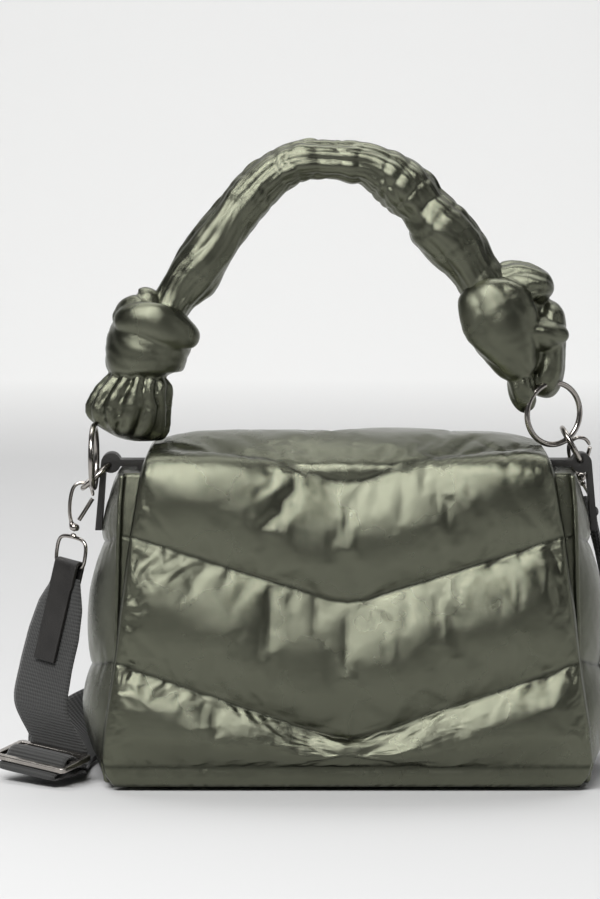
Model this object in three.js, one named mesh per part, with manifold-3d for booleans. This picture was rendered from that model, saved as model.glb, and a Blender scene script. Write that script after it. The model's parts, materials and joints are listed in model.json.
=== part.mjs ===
import * as THREE from 'three';
import { mergeVertices } from 'three/addons/utils/BufferGeometryUtils.js';
import Module from 'manifold-3d';

// A quilted puffer handbag with a full flap, a knotted padded handle and a webbing crossbody strap.
// Lengths are millimetres. +Z is up, the flap faces -Y, and the base rests on the floor at z = 0.

// Clearances
const SEAM_GAP = 0.35;
const WIRE_PASSAGE = 0.5;
const DEGREE = Math.PI / 180;

// Body
const BODY_WIDTH = 266;
const BODY_DEPTH = 92;
const RIM_HEIGHT = 161;
const BODY_WALL = 8;
const BASE_THICKNESS = 9;
const PANEL_CROWN = 2;
const BACK_PUFF = 4;
const FRONT_PUFF = 1;
const GUSSET_PUFF = 4.5;

// Quilting seams, as heights at the panel's sides and how far each V drops at the middle
const HEM_SEAM_HEIGHT = 13;
const LOW_SEAM_HEIGHT = 66;
const LOW_SEAM_DROP = 40;
const HIGH_SEAM_HEIGHT = 130;
const HIGH_SEAM_DROP = 34;

// Flap
const FLAP_WIDTH = 248;
const FLAP_SEAM_THICKNESS = 4;
const FLAP_EDGE_THICKNESS = 3;
const FLAP_LIFT = 7;
const FLAP_PUFF = 8;
const TOP_SEAM_RUN = 26;
const TOP_SEAM_DROP = 5;

// Handle
const HANDLE_HALF_SPAN = 88;
const HANDLE_RISE = 158;
const HANDLE_FOOT_SHARE = 161 / 319;
const HANDLE_GIRTH = 25;
const KNOT_DEPTH = 42;

// Rings
const HANDLE_RING_RADIUS = 16;
const HANDLE_RING_WIRE = 1.5;
const TAB_RING_RADIUS = 10.1;
const TAB_RING_WIRE = 1.4;
const RING_SEGMENTS = 16;
const WIRE_SIDES = 6;

// Leather tabs
const TAB_REACH = 121.75;
const TAB_ROLL_HEIGHT = RIM_HEIGHT + 2;
const TAB_ROLL_RADIUS = 5.2;
const TAB_WIDTH = 12;
const TAB_LEATHER = 3.4;
const TAB_LENGTH = 35;
const TAB_LEAN = 3.2;
const TAB_INNER_LENGTH = 22;

// Strap clips
const CLIP_WIRE = 1.15;
const HOOK_WIDTH = 12;
const HOOK_HEIGHT = 22;
const BARREL_RADIUS = 3;
const BARREL_LENGTH = 5;
const STEM_RADIUS = 1.5;
const LOOP_WIDTH = 23;
const LOOP_HEIGHT = 17;
const LOOP_WIRE = 1.2;
const LOOP_ROUND = 4;

// Strap
const WEBBING_WIDTH = 38;
const WEBBING_THICKNESS = 1.6;
const LAYER_PITCH = 2.6;
const TONGUE_WIDTH = 15;
const TONGUE_LENGTH = 51;
const TONGUE_LEATHER = 1.8;
const SLIDER_WIDTH = 48;
const SLIDER_LENGTH = 24;
const SLIDER_THICKNESS = 2.6;
const SLIDER_BAR = 3;
const SLIDER_CORNER = 2.5;
const STRIP_STEP = 9;

const wasm = await Module();
wasm.setup();

const OLIVE = new THREE.MeshStandardMaterial({ color: 0x5c6350, roughness: 0.38, metalness: 0.35 });
const LEATHER = new THREE.MeshStandardMaterial({ color: 0x1d1c1b, roughness: 0.6, metalness: 0 });
const METAL = new THREE.MeshStandardMaterial({ color: 0x6b625b, roughness: 0.25, metalness: 1 });
const WEBBING = new THREE.MeshStandardMaterial({ color: 0x262625, roughness: 0.85, metalness: 0 });

const STRIP_BIAS = new THREE.Vector3(0.3, 0.5, 1);

const bag = new THREE.Group();

function vec(x, y, z) {
  return new THREE.Vector3(x, y, z);
}

function lerp(a, b, t) {
  return a + (b - a) * t;
}

// Reads a table of rows by its first column, with a straight line between rows.
function readTable(table, key, column, at) {
  const last = table.length - 1;
  if (at <= table[0][key]) return table[0][column];
  if (at >= table[last][key]) return table[last][column];
  const next = table.findIndex((row) => row[key] > at);
  const low = table[next - 1];
  const high = table[next];
  return lerp(low[column], high[column], (at - low[key]) / (high[key] - low[key]));
}

// Faces of a solid lofted through rings of equal length. The ends are closed by fans round their middle,
// by strips between a sheet's two sides, or not at all where the last ring meets the first. Each quad of a
// sheet is cut along the diagonal that lies lower on STRIP_BIAS, so that its two sides never meet.
function loft(rings, ends) {
  const points = rings.flat();
  const sides = rings[0].length;
  const faces = [];
  const bands = ends === 'joined' ? rings.length : rings.length - 1;
  for (let r = 0; r < bands; r += 1) {
    const low = r * sides;
    const high = ((r + 1) % rings.length) * sides;
    for (let i = 0; i < sides; i += 1) {
      const j = (i + 1) % sides;
      const [a, b, c, d] = [low + i, low + j, high + j, high + i];
      const lean = points[a].clone().add(points[c]).sub(points[b]).sub(points[d]).dot(STRIP_BIAS);
      if (ends === 'strips' && lean > 0) faces.push([a, b, d], [b, c, d]);
      else faces.push([a, b, c], [a, c, d]);
    }
  }
  if (ends === 'fans') {
    for (const [start, flip] of [[0, true], [(rings.length - 1) * sides, false]]) {
      const middle = points.length;
      const centre = vec(0, 0, 0);
      for (let i = 0; i < sides; i += 1) centre.addScaledVector(points[start + i], 1 / sides);
      points.push(centre);
      for (let i = 0; i < sides; i += 1) {
        const j = (i + 1) % sides;
        faces.push(flip ? [middle, start + j, start + i] : [middle, start + i, start + j]);
      }
    }
  }
  if (ends === 'strips') {
    const half = sides / 2;
    for (const [start, flip] of [[0, true], [(rings.length - 1) * sides, false]]) {
      for (let i = 0; i < half - 1; i += 1) {
        const a = start + i;
        const b = start + i + 1;
        const c = start + sides - 2 - i;
        const d = start + sides - 1 - i;
        faces.push(flip ? [a, c, b] : [a, b, c], flip ? [a, d, c] : [a, c, d]);
      }
    }
  }
  return solidFrom(points, faces);
}

// A geometry whose faces are turned outwards where its volume comes out negative.
function solidFrom(points, faces) {
  let volume = 0;
  for (const [a, b, c] of faces) {
    volume += points[a].dot(vec(0, 0, 0).crossVectors(points[b], points[c]));
  }
  const index = faces.flatMap(([a, b, c]) => (volume < 0 ? [a, c, b] : [a, b, c]));
  const geometry = new THREE.BufferGeometry();
  const places = points.flatMap((p) => [p.x, p.y, p.z]);
  geometry.setAttribute('position', new THREE.Float32BufferAttribute(places, 3));
  geometry.setIndex(index);
  return geometry;
}

function toManifold(geometry) {
  const bare = geometry.clone();
  bare.deleteAttribute('normal');
  bare.deleteAttribute('uv');
  const merged = mergeVertices(bare, 1e-4);
  return new wasm.Manifold(new wasm.Mesh({
    numProp: 3,
    vertProperties: new Float32Array(merged.attributes.position.array),
    triVerts: new Uint32Array(merged.index.array),
  }));
}

function fromManifold(solid) {
  const mesh = solid.getMesh();
  const geometry = new THREE.BufferGeometry();
  geometry.setAttribute('position', new THREE.Float32BufferAttribute(mesh.vertProperties, 3));
  geometry.setIndex(new THREE.Uint32BufferAttribute(mesh.triVerts, 1));
  return geometry;
}

function cut(geometry, tools) {
  return fromManifold(tools.reduce((solid, tool) => solid.subtract(toManifold(tool)), toManifold(geometry)));
}

function join(geometries) {
  const [first, ...rest] = geometries.map(toManifold);
  return fromManifold(rest.reduce((solid, next) => solid.add(next), first));
}

function arc(x, y, radius, start, end, steps) {
  const points = [];
  for (let i = 0; i <= steps; i += 1) {
    const turn = lerp(start, end, i / steps);
    points.push([x + radius * Math.cos(turn), y + radius * Math.sin(turn)]);
  }
  return points;
}

// A plate of a closed outline with holes, its points listed as [x, y] pairs, between z = 0 and its depth.
function plate(outline, holes, depth) {
  const flat = (points) => points.map(([x, y]) => new THREE.Vector2(x, y))
    .filter((point, i, all) => point.distanceTo(all[(i + 1) % all.length]) > 1e-3);
  const shape = new THREE.Shape(flat(outline));
  shape.holes = holes.map((hole) => new THREE.Path(flat(hole)));
  return new THREE.ExtrudeGeometry(shape, { depth, bevelEnabled: false });
}

function addPiece(name, geometry, material) {
  const mesh = new THREE.Mesh(geometry, material);
  mesh.name = name;
  bag.add(mesh);
}

// Body outline at one height

// Shares of half the body's width and depth at shares of the rim's height.
const BODY_SECTIONS = [
  { up: 0, front: 0.895, gusset: 0.915, depth: 0.89 },
  { up: 0.025, front: 0.92, gusset: 0.96, depth: 0.95 },
  { up: 0.08, front: 0.93, gusset: 0.985, depth: 1 },
  { up: 0.24, front: 0.91, gusset: 1, depth: 1 },
  { up: 0.41, front: 0.88, gusset: 0.99, depth: 0.98 },
  { up: 0.6, front: 0.875, gusset: 0.97, depth: 0.96 },
  { up: 0.79, front: 0.87, gusset: 0.935, depth: 0.93 },
  { up: 0.9, front: 0.865, gusset: 0.893, depth: 0.89 },
  { up: 1, front: 0.855, gusset: 0.872, depth: 0.85 },
];

const FRONT_COLUMNS = 16;
const GUSSET_COLUMNS = 8;
const CHANNEL_ROWS = 4;

function bodySize(column, height) {
  const whole = column === 'depth' ? BODY_DEPTH : BODY_WIDTH;
  return readTable(BODY_SECTIONS, 'up', column, height / RIM_HEIGHT) * whole / 2;
}

// Where each column stands round the body: which panel, and how far along it from 0 to 1.
function bodyColumns() {
  const columns = [];
  for (const [panel, count] of [['front', FRONT_COLUMNS], ['right', GUSSET_COLUMNS], ['back', FRONT_COLUMNS],
    ['left', GUSSET_COLUMNS]]) {
    for (let i = 0; i < count; i += 1) columns.push({ panel, along: i / count });
  }
  return columns;
}

function middleShare(column) {
  return column.panel === 'front' || column.panel === 'back' ? 1 - Math.abs(2 * column.along - 1) : 0;
}

// One point of the body's outer face, raised by the channel's puff.
function bodyPoint(column, height, puff) {
  const front = bodySize('front', height);
  const depth = bodySize('depth', height);
  const swell = Math.sin(Math.PI * column.along);
  const bulge = swell ** 0.8;
  if (column.panel === 'front') {
    return vec(lerp(-front, front, column.along), -depth - (PANEL_CROWN + FRONT_PUFF * puff) * bulge, height);
  }
  if (column.panel === 'back') {
    return vec(lerp(front, -front, column.along), depth + (PANEL_CROWN + BACK_PUFF * puff) * bulge, height);
  }
  const reach = front + (bodySize('gusset', height) - front + GUSSET_PUFF * puff) * bulge;
  const side = column.panel === 'right' ? 1 : -1;
  return vec(side * reach, side * lerp(-depth, depth, column.along), height);
}

// A seam's height at a share of the way in from the panel's side to its middle.
function seamHeight(side, drop, middle) {
  return side - drop * middle;
}

function channelPuff(share) {
  return Math.sin(Math.PI * share) ** 0.6;
}

function buildBody() {
  const columns = bodyColumns();
  const baseHeights = [0, 0.3 * HEM_SEAM_HEIGHT];
  const seams = [
    (m) => seamHeight(HEM_SEAM_HEIGHT, 0, m),
    (m) => seamHeight(LOW_SEAM_HEIGHT, LOW_SEAM_DROP, m),
    (m) => seamHeight(HIGH_SEAM_HEIGHT, HIGH_SEAM_DROP, m),
    () => RIM_HEIGHT,
  ];
  const rings = baseHeights.map((height) => columns.map((c) => bodyPoint(c, height, 0)));
  for (let s = 0; s < seams.length - 1; s += 1) {
    for (let r = 0; r < CHANNEL_ROWS; r += 1) {
      const share = r / CHANNEL_ROWS;
      rings.push(columns.map((c) => {
        const m = middleShare(c);
        return bodyPoint(c, lerp(seams[s](m), seams[s + 1](m), share), channelPuff(share));
      }));
    }
  }
  rings.push(columns.map((c) => bodyPoint(c, RIM_HEIGHT, 0)));
  const innerHeights = [RIM_HEIGHT, 0.75 * RIM_HEIGHT, 0.4 * RIM_HEIGHT, 2 * BASE_THICKNESS, BASE_THICKNESS];
  for (const height of innerHeights) {
    rings.push(columns.map((c) => {
      const outer = bodyPoint(c, height, 0);
      const front = bodySize('front', height);
      const depth = bodySize('depth', height);
      const inset = (value, limit) => value * (limit - BODY_WALL) / limit;
      const x = inset(outer.x, Math.max(Math.abs(outer.x), front));
      const y = inset(outer.y, Math.max(Math.abs(outer.y), depth));
      return vec(x, y, height);
    }));
  }
  return loft(rings, 'fans');
}

// Flap

// The flap's underside from the hem to the back rim: y as a share of half the body's depth, z as a share
// of the rim's height plus a share of the flap's lift over the rim.
const FLAP_PROFILE = [
  { depth: -1.06, up: 0.019, lift: 0 },
  { depth: -1.09, up: 0.081, lift: 0 },
  { depth: -1.105, up: 0.24, lift: 0 },
  { depth: -1.09, up: 0.41, lift: 0 },
  { depth: -1.065, up: 0.62, lift: 0 },
  { depth: -1.035, up: 0.81, lift: 0 },
  { depth: -1.005, up: 0.94, lift: 0 },
  { depth: -0.975, up: 1, lift: 0 },
  { depth: -0.91, up: 1, lift: 0.5 },
  { depth: -0.7, up: 1, lift: 0.8 },
  { depth: -0.35, up: 1, lift: 1 },
  { depth: 0.15, up: 1, lift: 1 },
  { depth: 0.5, up: 1, lift: 0.9 },
  { depth: 0.68, up: 1, lift: 0.55 },
  { depth: 0.74, up: 1, lift: 0.05 },
];

// Half-width of the flap as a share of its own half-width, by height up its front.
const FLAP_EDGES = [
  { up: 0.019, half: 0.955 },
  { up: 0.05, half: 0.985 },
  { up: 0.1, half: 1 },
  { up: 0.2, half: 0.99 },
  { up: 0.41, half: 0.945 },
  { up: 0.56, half: 0.925 },
  { up: 0.81, half: 0.88 },
  { up: 1, half: 0.84 },
  { up: 1.05, half: 0.815 },
];

const FLAP_COLUMNS = 22;
const FLAP_CHANNEL_ROWS = 5;
const FLAP_TOP_ROWS = 8;

function flapPath() {
  const points = FLAP_PROFILE.map((row) => vec(
    0,
    row.depth * BODY_DEPTH / 2,
    row.up * RIM_HEIGHT + row.lift * FLAP_LIFT + (row.lift > 0 ? SEAM_GAP : 0),
  ));
  return new THREE.CatmullRomCurve3(points, false, 'centripetal');
}

// Share of the path's length at which it first reaches a height on the front.
function pathShareAtHeight(path, height) {
  let low = 0;
  let high = 0.6;
  for (let i = 0; i < 40; i += 1) {
    const middle = (low + high) / 2;
    if (path.getPointAt(middle).z < height) low = middle;
    else high = middle;
  }
  return low;
}

function pathShareAtDepth(path, y) {
  let low = 0.3;
  let high = 1;
  for (let i = 0; i < 40; i += 1) {
    const middle = (low + high) / 2;
    if (path.getPointAt(middle).y < y) low = middle;
    else high = middle;
  }
  return low;
}

function buildFlap() {
  const path = flapPath();
  const atHeight = (height) => pathShareAtHeight(path, height);
  const topSide = pathShareAtDepth(path, -TOP_SEAM_RUN);
  const topMiddle = atHeight(RIM_HEIGHT - TOP_SEAM_DROP);
  const seams = [
    () => 0,
    () => atHeight(HEM_SEAM_HEIGHT),
    (m) => atHeight(seamHeight(LOW_SEAM_HEIGHT, LOW_SEAM_DROP, m)),
    (m) => atHeight(seamHeight(HIGH_SEAM_HEIGHT, HIGH_SEAM_DROP, m)),
    (m) => lerp(topSide, topMiddle, m),
    () => 1,
  ];
  const channels = [
    { rows: 2, puff: 0.15 },
    { rows: FLAP_CHANNEL_ROWS, puff: 1 },
    { rows: FLAP_CHANNEL_ROWS, puff: 1 },
    { rows: FLAP_CHANNEL_ROWS, puff: 0.95 },
    { rows: FLAP_TOP_ROWS, puff: 0.7, ease: 1.5 },
  ];
  const across = [];
  for (let i = 0; i <= FLAP_COLUMNS; i += 1) {
    const even = 2 * i / FLAP_COLUMNS - 1;
    across.push(lerp(even, Math.sin(even * Math.PI / 2), 0.75));
  }
  const rings = [];
  channels.forEach((channel, c) => {
    const last = c === channels.length - 1 ? channel.rows : channel.rows - 1;
    for (let r = 0; r <= last; r += 1) {
      const share = (r / channel.rows) ** (channel.ease ?? 1);
      const outer = [];
      const inner = [];
      for (const w of across) {
        const m = 1 - Math.abs(w);
        const at = lerp(seams[c](m), seams[c + 1](m), share);
        const base = path.getPointAt(at);
        const tangent = path.getTangentAt(at);
        const half = readTable(FLAP_EDGES, 'up', 'half', base.z / RIM_HEIGHT) * FLAP_WIDTH / 2;
        const edge = Math.sqrt(1 - w ** 6);
        const full = FLAP_SEAM_THICKNESS + FLAP_PUFF * channel.puff * channelPuff(share);
        const thickness = lerp(FLAP_EDGE_THICKNESS, full, edge);
        inner.push(vec(w * half, base.y, base.z));
        outer.push(vec(w * half, base.y - tangent.z * thickness, base.z + tangent.y * thickness));
      }
      rings.push([...outer, ...inner.reverse()]);
    }
  });
  return loft(rings, 'strips');
}

// Handle

// The arch from the left knot to the right one: x as a share of the half span, z as a share of the top's
// height, width as a share of the handle's girth, and the lean of the section off the vertical in degrees.
const ARCH_SECTIONS = [
  { along: -1.045, up: 0.762, width: 0.94, lean: 86 },
  { along: -0.985, up: 0.781, width: 0.9, lean: 72 },
  { along: -0.9, up: 0.812, width: 1.05, lean: 62 },
  { along: -0.8, up: 0.855, width: 1.0, lean: 56 },
  { along: -0.68, up: 0.902, width: 0.92, lean: 48 },
  { along: -0.545, up: 0.947, width: 0.94, lean: 40 },
  { along: -0.41, up: 0.98, width: 0.86, lean: 26 },
  { along: -0.27, up: 0.998, width: 0.84, lean: 10 },
  { along: -0.1, up: 1, width: 0.8, lean: 0 },
  { along: 0.03, up: 0.997, width: 0.86, lean: -5 },
  { along: 0.13, up: 0.992, width: 0.84, lean: -18 },
  { along: 0.26, up: 0.972, width: 1.04, lean: -32 },
  { along: 0.37, up: 0.948, width: 1.1, lean: -44 },
  { along: 0.45, up: 0.925, width: 1.0, lean: -52 },
  { along: 0.55, up: 0.89, width: 1.22, lean: -58 },
  { along: 0.65, up: 0.856, width: 1.2, lean: -60 },
  { along: 0.735, up: 0.828, width: 0.98, lean: -56 },
  { along: 0.8, up: 0.806, width: 0.9, lean: -48 },
];

// Each knot piece by horizontal slices: height as a share of the handle's top, then how far its inner and
// outer sides lie from the middle of the bag as shares of the half span, and its depth as a share of the
// knot's depth.
const LEFT_BAND = [
  { up: 0.7555, inner: 0.99, outer: 1.2, depth: 0.5 },
  { up: 0.742, inner: 0.9, outer: 1.335, depth: 0.84 },
  { up: 0.722, inner: 0.89, outer: 1.385, depth: 1 },
  { up: 0.698, inner: 0.94, outer: 1.405, depth: 1.04 },
  { up: 0.668, inner: 0.965, outer: 1.39, depth: 1 },
  { up: 0.64, inner: 0.985, outer: 1.37, depth: 0.88 },
];

const LEFT_TAIL = [
  { up: 0.6385, inner: 1.02, outer: 1.34, depth: 0.7 },
  { up: 0.62, inner: 1.0, outer: 1.42, depth: 0.82 },
  { up: 0.595, inner: 1.02, outer: 1.49, depth: 0.84 },
  { up: 0.575, inner: 1.06, outer: 1.525, depth: 0.78 },
  { up: 0.56, inner: 1.13, outer: 1.5, depth: 0.66 },
  { up: 0.547, inner: 1.22, outer: 1.44, depth: 0.5 },
];

const RIGHT_BAND = [
  { up: 0.818, inner: 0.9, outer: 1.12, depth: 0.5 },
  { up: 0.802, inner: 0.775, outer: 1.18, depth: 0.8 },
  { up: 0.772, inner: 0.665, outer: 1.25, depth: 0.98 },
  { up: 0.74, inner: 0.71, outer: 1.265, depth: 1.04 },
  { up: 0.712, inner: 0.77, outer: 1.265, depth: 1 },
  { up: 0.685, inner: 0.82, outer: 1.25, depth: 0.9 },
  { up: 0.66, inner: 0.88, outer: 1.16, depth: 0.7 },
];

const RIGHT_TAIL = [
  { up: 0.6585, inner: 0.9, outer: 1.22, depth: 0.62 },
  { up: 0.645, inner: 0.9, outer: 1.285, depth: 0.74 },
  { up: 0.625, inner: 0.93, outer: 1.305, depth: 0.74 },
  { up: 0.61, inner: 0.97, outer: 1.3, depth: 0.62 },
  { up: 0.6, inner: 1.02, outer: 1.22, depth: 0.46 },
];

const ARCH_SIDES = 16;
const ARCH_STEPS = 38;
const KNOT_SIDES = 18;
const KNOT_STEPS = 12;
const FOLD_DEPTH = 0.05;
const FOLD_COUNT = 5;

// Height of a place on the handle: the tables count it in shares of the top's height, and it stands on the rim.
function handleHeight(up) {
  return RIM_HEIGHT + HANDLE_RISE * (up - HANDLE_FOOT_SHARE) / (1 - HANDLE_FOOT_SHARE);
}

// A smooth curve through one table's columns, read by share of the way along the table.
function columnCurve(table, column) {
  const points = table.map((row, i) => vec(i, row[column], 0));
  const curve = new THREE.CatmullRomCurve3(points, false, 'catmullrom', 0.5);
  return (share) => curve.getPoint(share).y;
}

function ellipsePoint(turn, fold) {
  const ripple = 1 + FOLD_DEPTH * Math.cos(FOLD_COUNT * turn + fold);
  return { across: Math.cos(turn) * ripple, deep: Math.sin(turn) * ripple };
}

function buildArch() {
  const columns = ['along', 'up', 'width', 'lean'];
  const read = Object.fromEntries(columns.map((column) => [column, columnCurve(ARCH_SECTIONS, column)]));
  const rings = [];
  for (let s = 0; s <= ARCH_STEPS; s += 1) {
    const share = s / ARCH_STEPS;
    const lean = read.lean(share) * DEGREE;
    const half = read.width(share) * HANDLE_GIRTH / 2;
    const ring = [];
    for (let i = 0; i < ARCH_SIDES; i += 1) {
      const turn = 2 * Math.PI * i / ARCH_SIDES;
      const { across, deep } = ellipsePoint(turn, 9 * share);
      ring.push(vec(
        read.along(share) * HANDLE_HALF_SPAN - Math.sin(lean) * across * half,
        deep * half,
        handleHeight(read.up(share)) + Math.cos(lean) * across * half,
      ));
    }
    rings.push(ring);
  }
  return loft(rings, 'fans');
}

function buildKnotPiece(table, side, grow = 0) {
  const read = Object.fromEntries(['up', 'inner', 'outer', 'depth'].map((c) => [c, columnCurve(table, c)]));
  const rings = [];
  for (let s = 0; s <= KNOT_STEPS; s += 1) {
    const share = s / KNOT_STEPS;
    const inner = read.inner(share) * HANDLE_HALF_SPAN - grow;
    const outer = read.outer(share) * HANDLE_HALF_SPAN + grow;
    const rise = s === 0 ? grow : 0;
    const ring = [];
    for (let i = 0; i < KNOT_SIDES; i += 1) {
      const turn = 2 * Math.PI * i / KNOT_SIDES;
      const { across, deep } = ellipsePoint(turn, 2 * share);
      ring.push(vec(
        side * ((inner + outer) / 2 + across * (outer - inner) / 2),
        deep * (read.depth(share) * KNOT_DEPTH / 2 + grow),
        handleHeight(read.up(share)) + rise,
      ));
    }
    rings.push(ring);
  }
  return loft(rings, 'fans');
}

// Rings

// Each ring lies in the plane of its two directions.
const TAB_ROLL = {
  left: vec(-TAB_REACH, 0, TAB_ROLL_HEIGHT),
  right: vec(TAB_REACH, 0, TAB_ROLL_HEIGHT),
};
const TAB_RING_DIRECTION = {
  left: vec(-0.74, 0, -0.67).normalize(),
  right: vec(-0.486, 0, 0.874).normalize(),
};

function tabRingFrame(side) {
  return {
    centre: TAB_ROLL[side].clone().addScaledVector(TAB_RING_DIRECTION[side], TAB_RING_RADIUS),
    u: TAB_RING_DIRECTION[side],
    v: vec(0, 1, 0),
  };
}

// The handle rings stand over the tab rings that they are linked with: how far off, and how they are turned.
const LEFT_RING_SHIFT = vec(-1.2, -8, HANDLE_RING_RADIUS - 5.7);
const LEFT_RING_TURN = 2 * DEGREE;
const RIGHT_RING_SHIFT = vec(-9.8, -4, HANDLE_RING_RADIUS + 0.7);
const RIGHT_RING_TURN = 28 * DEGREE;

function handleRingFrame(side) {
  const tab = tabRingFrame(side).centre;
  if (side === 'left') {
    return {
      centre: tab.add(LEFT_RING_SHIFT),
      u: vec(Math.sin(LEFT_RING_TURN), Math.cos(LEFT_RING_TURN), 0),
      v: vec(0, 0, 1),
    };
  }
  return {
    centre: tab.add(RIGHT_RING_SHIFT),
    u: vec(Math.cos(RIGHT_RING_TURN), Math.sin(RIGHT_RING_TURN), 0),
    v: vec(0, 0, 1),
  };
}

// A wire's section: points round a centre, from the way out of the ring and the ring's normal.
function wireSection(centre, out, normal, wire) {
  const ring = [];
  for (let i = 0; i < WIRE_SIDES; i += 1) {
    const roll = 2 * Math.PI * (i + 0.5) / WIRE_SIDES;
    ring.push(centre.clone()
      .addScaledVector(out, Math.cos(roll) * wire)
      .addScaledVector(normal, Math.sin(roll) * wire));
  }
  return ring;
}

function ringSolid(frame, radius, wire) {
  const normal = vec(0, 0, 0).crossVectors(frame.u, frame.v);
  const rings = [];
  for (let s = 0; s < RING_SEGMENTS; s += 1) {
    const turn = 2 * Math.PI * s / RING_SEGMENTS;
    const out = frame.u.clone().multiplyScalar(Math.cos(turn)).addScaledVector(frame.v, Math.sin(turn));
    const centre = frame.centre.clone().addScaledVector(out, radius);
    rings.push(wireSection(centre, out, normal, wire));
  }
  return loft(rings, 'joined');
}

// Leather tabs

const TAB_ROLL_END = 1.68 * Math.PI;

// A tab's side view: an outer leg, a roll round the ring and a short leg inside the rim.
function buildTab(side) {
  const sign = side === 'left' ? -1 : 1;
  const roll = TAB_ROLL_RADIUS;
  const rim = bodySize('gusset', RIM_HEIGHT);
  const bridgeLow = RIM_HEIGHT + SEAM_GAP - TAB_ROLL_HEIGHT;
  const bridgeHigh = bridgeLow + TAB_LEATHER;
  const innerFace = rim - BODY_WALL - SEAM_GAP - TAB_REACH;
  const legLow = -TAB_LENGTH;
  const outline = [
    [innerFace - TAB_LEATHER, bridgeLow - TAB_INNER_LENGTH],
    [innerFace, bridgeLow - TAB_INNER_LENGTH],
    [innerFace, bridgeLow],
    ...arc(0, 0, roll, Math.PI + Math.asin(-bridgeLow / roll), TAB_ROLL_END, 5),
    [roll + TAB_LEAN - TAB_LEATHER, legLow],
    [roll + TAB_LEAN, legLow],
    ...arc(0, 0, roll, 0, Math.PI - Math.asin(bridgeHigh / roll), 10),
    [innerFace - TAB_LEATHER, bridgeHigh],
  ];
  const geometry = plate(outline, [], TAB_WIDTH);
  geometry.rotateX(Math.PI / 2);
  geometry.translate(0, TAB_WIDTH / 2, 0);
  if (sign < 0) geometry.rotateZ(Math.PI);
  geometry.translate(sign * TAB_REACH, 0, TAB_ROLL_HEIGHT);
  return cut(geometry, [ringSolid(tabRingFrame(side), TAB_RING_RADIUS, TAB_RING_WIRE + WIRE_PASSAGE)]);
}

// A wire of round section along an open path in a clip's own frame
function wireSolid(points, radius, steps) {
  const path = new THREE.CatmullRomCurve3(points, false, 'centripetal');
  const section = new THREE.Shape();
  section.absarc(0, 0, radius, 0, 2 * Math.PI, false);
  const options = { steps, extrudePath: path, bevelEnabled: false, curveSegments: 3 };
  return new THREE.ExtrudeGeometry(section, options);
}

// A wire along a closed path that lies in a clip's XZ plane
function closedWire(points, radius, steps) {
  const path = new THREE.CatmullRomCurve3(points, true, 'centripetal');
  const rings = [];
  for (let s = 0; s < steps; s += 1) {
    const run = path.getTangentAt(s / steps);
    const out = vec(run.z, 0, -run.x);
    rings.push(wireSection(path.getPointAt(s / steps), out, vec(0, 1, 0), radius));
  }
  return loft(rings, 'joined');
}

// Strap clips

// The hook's outline as shares of its width and height below the point where it hangs: the straight side
// and the nose are the hook's, and the slanted side is the gate's.
const HOOK_OUTLINE = [
  { across: -0.28, down: 1.0 },
  { across: -0.42, down: 0.76 },
  { across: -0.47, down: 0.36 },
  { across: -0.36, down: 0.1 },
  { across: 0, down: 0 },
  { across: 0.34, down: 0.08 },
  { across: 0.5, down: 0.3 },
];
const GATE_FOOT = { across: 0.02, down: 1.0 };
const GATE_INSET = 0.2;
const BARREL_OVERLAP = 0.6;
const STEM_LENGTH = 3;
const STEM_TWIST = 9 * DEGREE;

// Where each clip hangs: on the tab ring's far end on the left, behind the tab on the right.
const CLIPS = {
  left: { ringTurn: 0, back: 0, lean: 8, spin: 0, shift: 0, lift: 0, loopTurn: -42 },
  right: { ringTurn: 120.25, back: 26.8, lean: -12, spin: 7.95, shift: 2.4, lift: 5.35, loopTurn: 97.55 },
};

function clipFrame(side) {
  const ring = tabRingFrame(side);
  const turn = CLIPS[side].ringTurn * DEGREE;
  const hangPoint = ring.centre.clone()
    .addScaledVector(ring.u, Math.cos(turn) * TAB_RING_RADIUS)
    .addScaledVector(ring.v, Math.sin(turn) * TAB_RING_RADIUS);
  const { back, lean, spin, shift, lift } = CLIPS[side];
  return new THREE.Matrix4().makeTranslation(hangPoint)
    .multiply(new THREE.Matrix4().makeRotationX(back * DEGREE))
    .multiply(new THREE.Matrix4().makeRotationY(lean * DEGREE))
    .multiply(new THREE.Matrix4().makeRotationZ(spin * DEGREE))
    .multiply(new THREE.Matrix4().makeTranslation(shift, 0, lift));
}

function hookPoint({ across, down }) {
  return vec(across * HOOK_WIDTH, 0, TAB_RING_WIRE + CLIP_WIRE + SEAM_GAP - down * HOOK_HEIGHT);
}

function clipAxis() {
  return hookPoint({ across: -0.13, down: 1 });
}

function buildHook(side) {
  const wire = wireSolid(HOOK_OUTLINE.map(hookPoint), CLIP_WIRE, 22);
  const barrel = new THREE.CylinderGeometry(BARREL_RADIUS, BARREL_RADIUS, BARREL_LENGTH, 12);
  barrel.rotateX(Math.PI / 2);
  const at = clipAxis();
  barrel.translate(at.x, at.y, at.z - BARREL_LENGTH / 2 + BARREL_OVERLAP);
  const geometry = join([wire, barrel]);
  geometry.applyMatrix4(clipFrame(side));
  return geometry;
}

function buildGate(side) {
  const foot = hookPoint(GATE_FOOT).add(vec(0, 0, BARREL_OVERLAP + CLIP_WIRE + SEAM_GAP));
  const nose = hookPoint(HOOK_OUTLINE[HOOK_OUTLINE.length - 1])
    .add(vec(-GATE_INSET, 0, -0.6 * CLIP_WIRE - SEAM_GAP));
  const path = new THREE.LineCurve3(foot, nose);
  const section = new THREE.Shape();
  section.absarc(0, 0, CLIP_WIRE, 0, 2 * Math.PI, false);
  const options = { steps: 1, extrudePath: path, bevelEnabled: false, curveSegments: 4 };
  const geometry = new THREE.ExtrudeGeometry(section, options);
  geometry.applyMatrix4(clipFrame(side));
  return geometry;
}

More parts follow.
